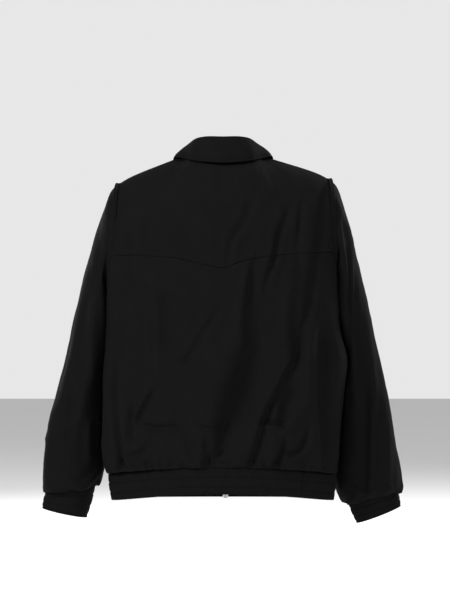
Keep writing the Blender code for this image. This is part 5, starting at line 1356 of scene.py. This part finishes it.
tape_look = woven("zip_tape", TAPE_TONE, TAPE_RUBBED, 0.8, 1.12)
metal = Look("zip_metal", Metallic=1.0)
grime = metal.noise(metal.node("ShaderNodeTexCoord", {}, 3), GRIME, 3.0)
metal.vary("Base Color", metal.mix(grime, METAL_DULL, METAL_BRIGHT))
metal.vary("Roughness", 0.28 + grime * 0.22)


def zip_line(side, level, distance):
    """Line behind a front at a distance from the middle of the zip, then on down the waistband."""
    across = SIDES[side]["sign"] * beside_zip(side, level, distance)
    face = body_normal(-1, across, level)
    line = body(-1, across, level) - face * (CLOTH_WALL + SEAM_GAP)
    low_z = band_point(np.array([pi]), np.array([1.0]))[0, 2] + BOX_ABOVE + SEAM_GAP
    band_line = band_point(np.full(TAPE_BAND_ROWS, pi), np.linspace(TAPE_BAND_TOP, 1.0, TAPE_BAND_ROWS))
    band_line[:, 0] = ZIP_X + SIDES[side]["sign"] * distance
    band_line[:, 1] += BAND_WALL + SEAM_GAP + TAPE_CLEAR
    band_line[:, 2] = np.linspace(band_line[0, 2], low_z, TAPE_BAND_ROWS)
    forward = np.tile([0.0, -1.0, 0.0], (TAPE_BAND_ROWS, 1))
    return np.concatenate([line, band_line]), np.concatenate([face, forward])


down_zip = np.linspace(0.0, 1.97, 218)
for side in SIDES:
    lines = [zip_line(side, down_zip, distance) for distance in np.linspace(TAPE_INNER, TAPE_OUTER, 13)]
    plain = np.stack([line for line, face in lines], 1)
    normal = np.stack([face for line, face in lines], 1)
    cord = TAPE_CORD[0] * np.exp(-(from_end(plain, 1, False) / TAPE_CORD[1]) ** 2)
    tape = shell(f"zip_tape_{side}_cloth", plain + normal * cord[..., None], normal, TAPE_WALL, tape_look,
                 flat_cut(plain), sparse=1)
    sew(tape, [f"zip_tape_{side}"])


left_line, face = zip_line("left", down_zip, TAPE_INNER)
right_line = zip_line("right", down_zip, TAPE_INNER)[0]
spine = (left_line + right_line) / 2
run = from_end(spine, 0, False)
closed_from = np.interp(CHAIN_TOP, down_zip, run[:len(down_zip)])
count = int((run[-1] - 2 * CHAIN_ENDS) / TEETH_PITCH)
places, frames = [], []
for hand, offset in ((1.0, 0.0), (-1.0, 0.5)):
    at = CHAIN_ENDS + (np.arange(count) + offset) * TEETH_PITCH
    spot = at_run(at, run, spine)
    spot[:, 0] += hand * (TOOTH_SIDE + TEETH_APART * ease(closed_from - at, 0.004, 0.012))
    ahead = unit(at_run(at, run, face) * [0.0, 1.0, 1.0])
    wide = np.tile([hand, 0.0, 0.0], (count, 1))
    places.append(spot + ahead * (SEAM_GAP + TOOTH["deep"] / 2))
    frames.append(np.stack([wide, np.cross(ahead, wide) * hand, ahead], 1))

# One tooth, in half sizes: an eight-cornered outline at three depths, narrower in front.
outline = np.array([(-1, -0.5), (-1, 0.5), (-0.3, 1.0), (0.5, 0.9), (1, 0.35), (1, -0.35), (0.5, -0.9),
                    (-0.3, -1.0)])
tooth = np.concatenate([np.column_stack([outline * share, np.full(8, depth)])
                        for share, depth in ((1.0, -1.0), (1.0, 0.6), (0.75, 1.0))])
tooth = tooth * [TOOTH["wide"] / 2, TOOTH["high"] / 2, TOOTH["deep"] / 2]
ring = np.arange(8)
after = (ring + 1) % 8
sides = [np.stack([ring + low, after + low, after + low + 8, ring + low + 8], -1) for low in (0, 8)]
front = np.array([[20, 21, 22, 23], [16, 19, 20, 23], [16, 17, 18, 19]])
teeth = scatter("zip_teeth", tooth, [np.concatenate([*sides, front])], np.concatenate(places),
                np.concatenate(frames), metal.material)
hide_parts("zip_chain")
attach(teeth, "jacket")
for name in ("zip_slider", "zip_pull", "zip_box"):
    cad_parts[name].data.materials.clear()
    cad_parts[name].data.materials.append(metal.material)
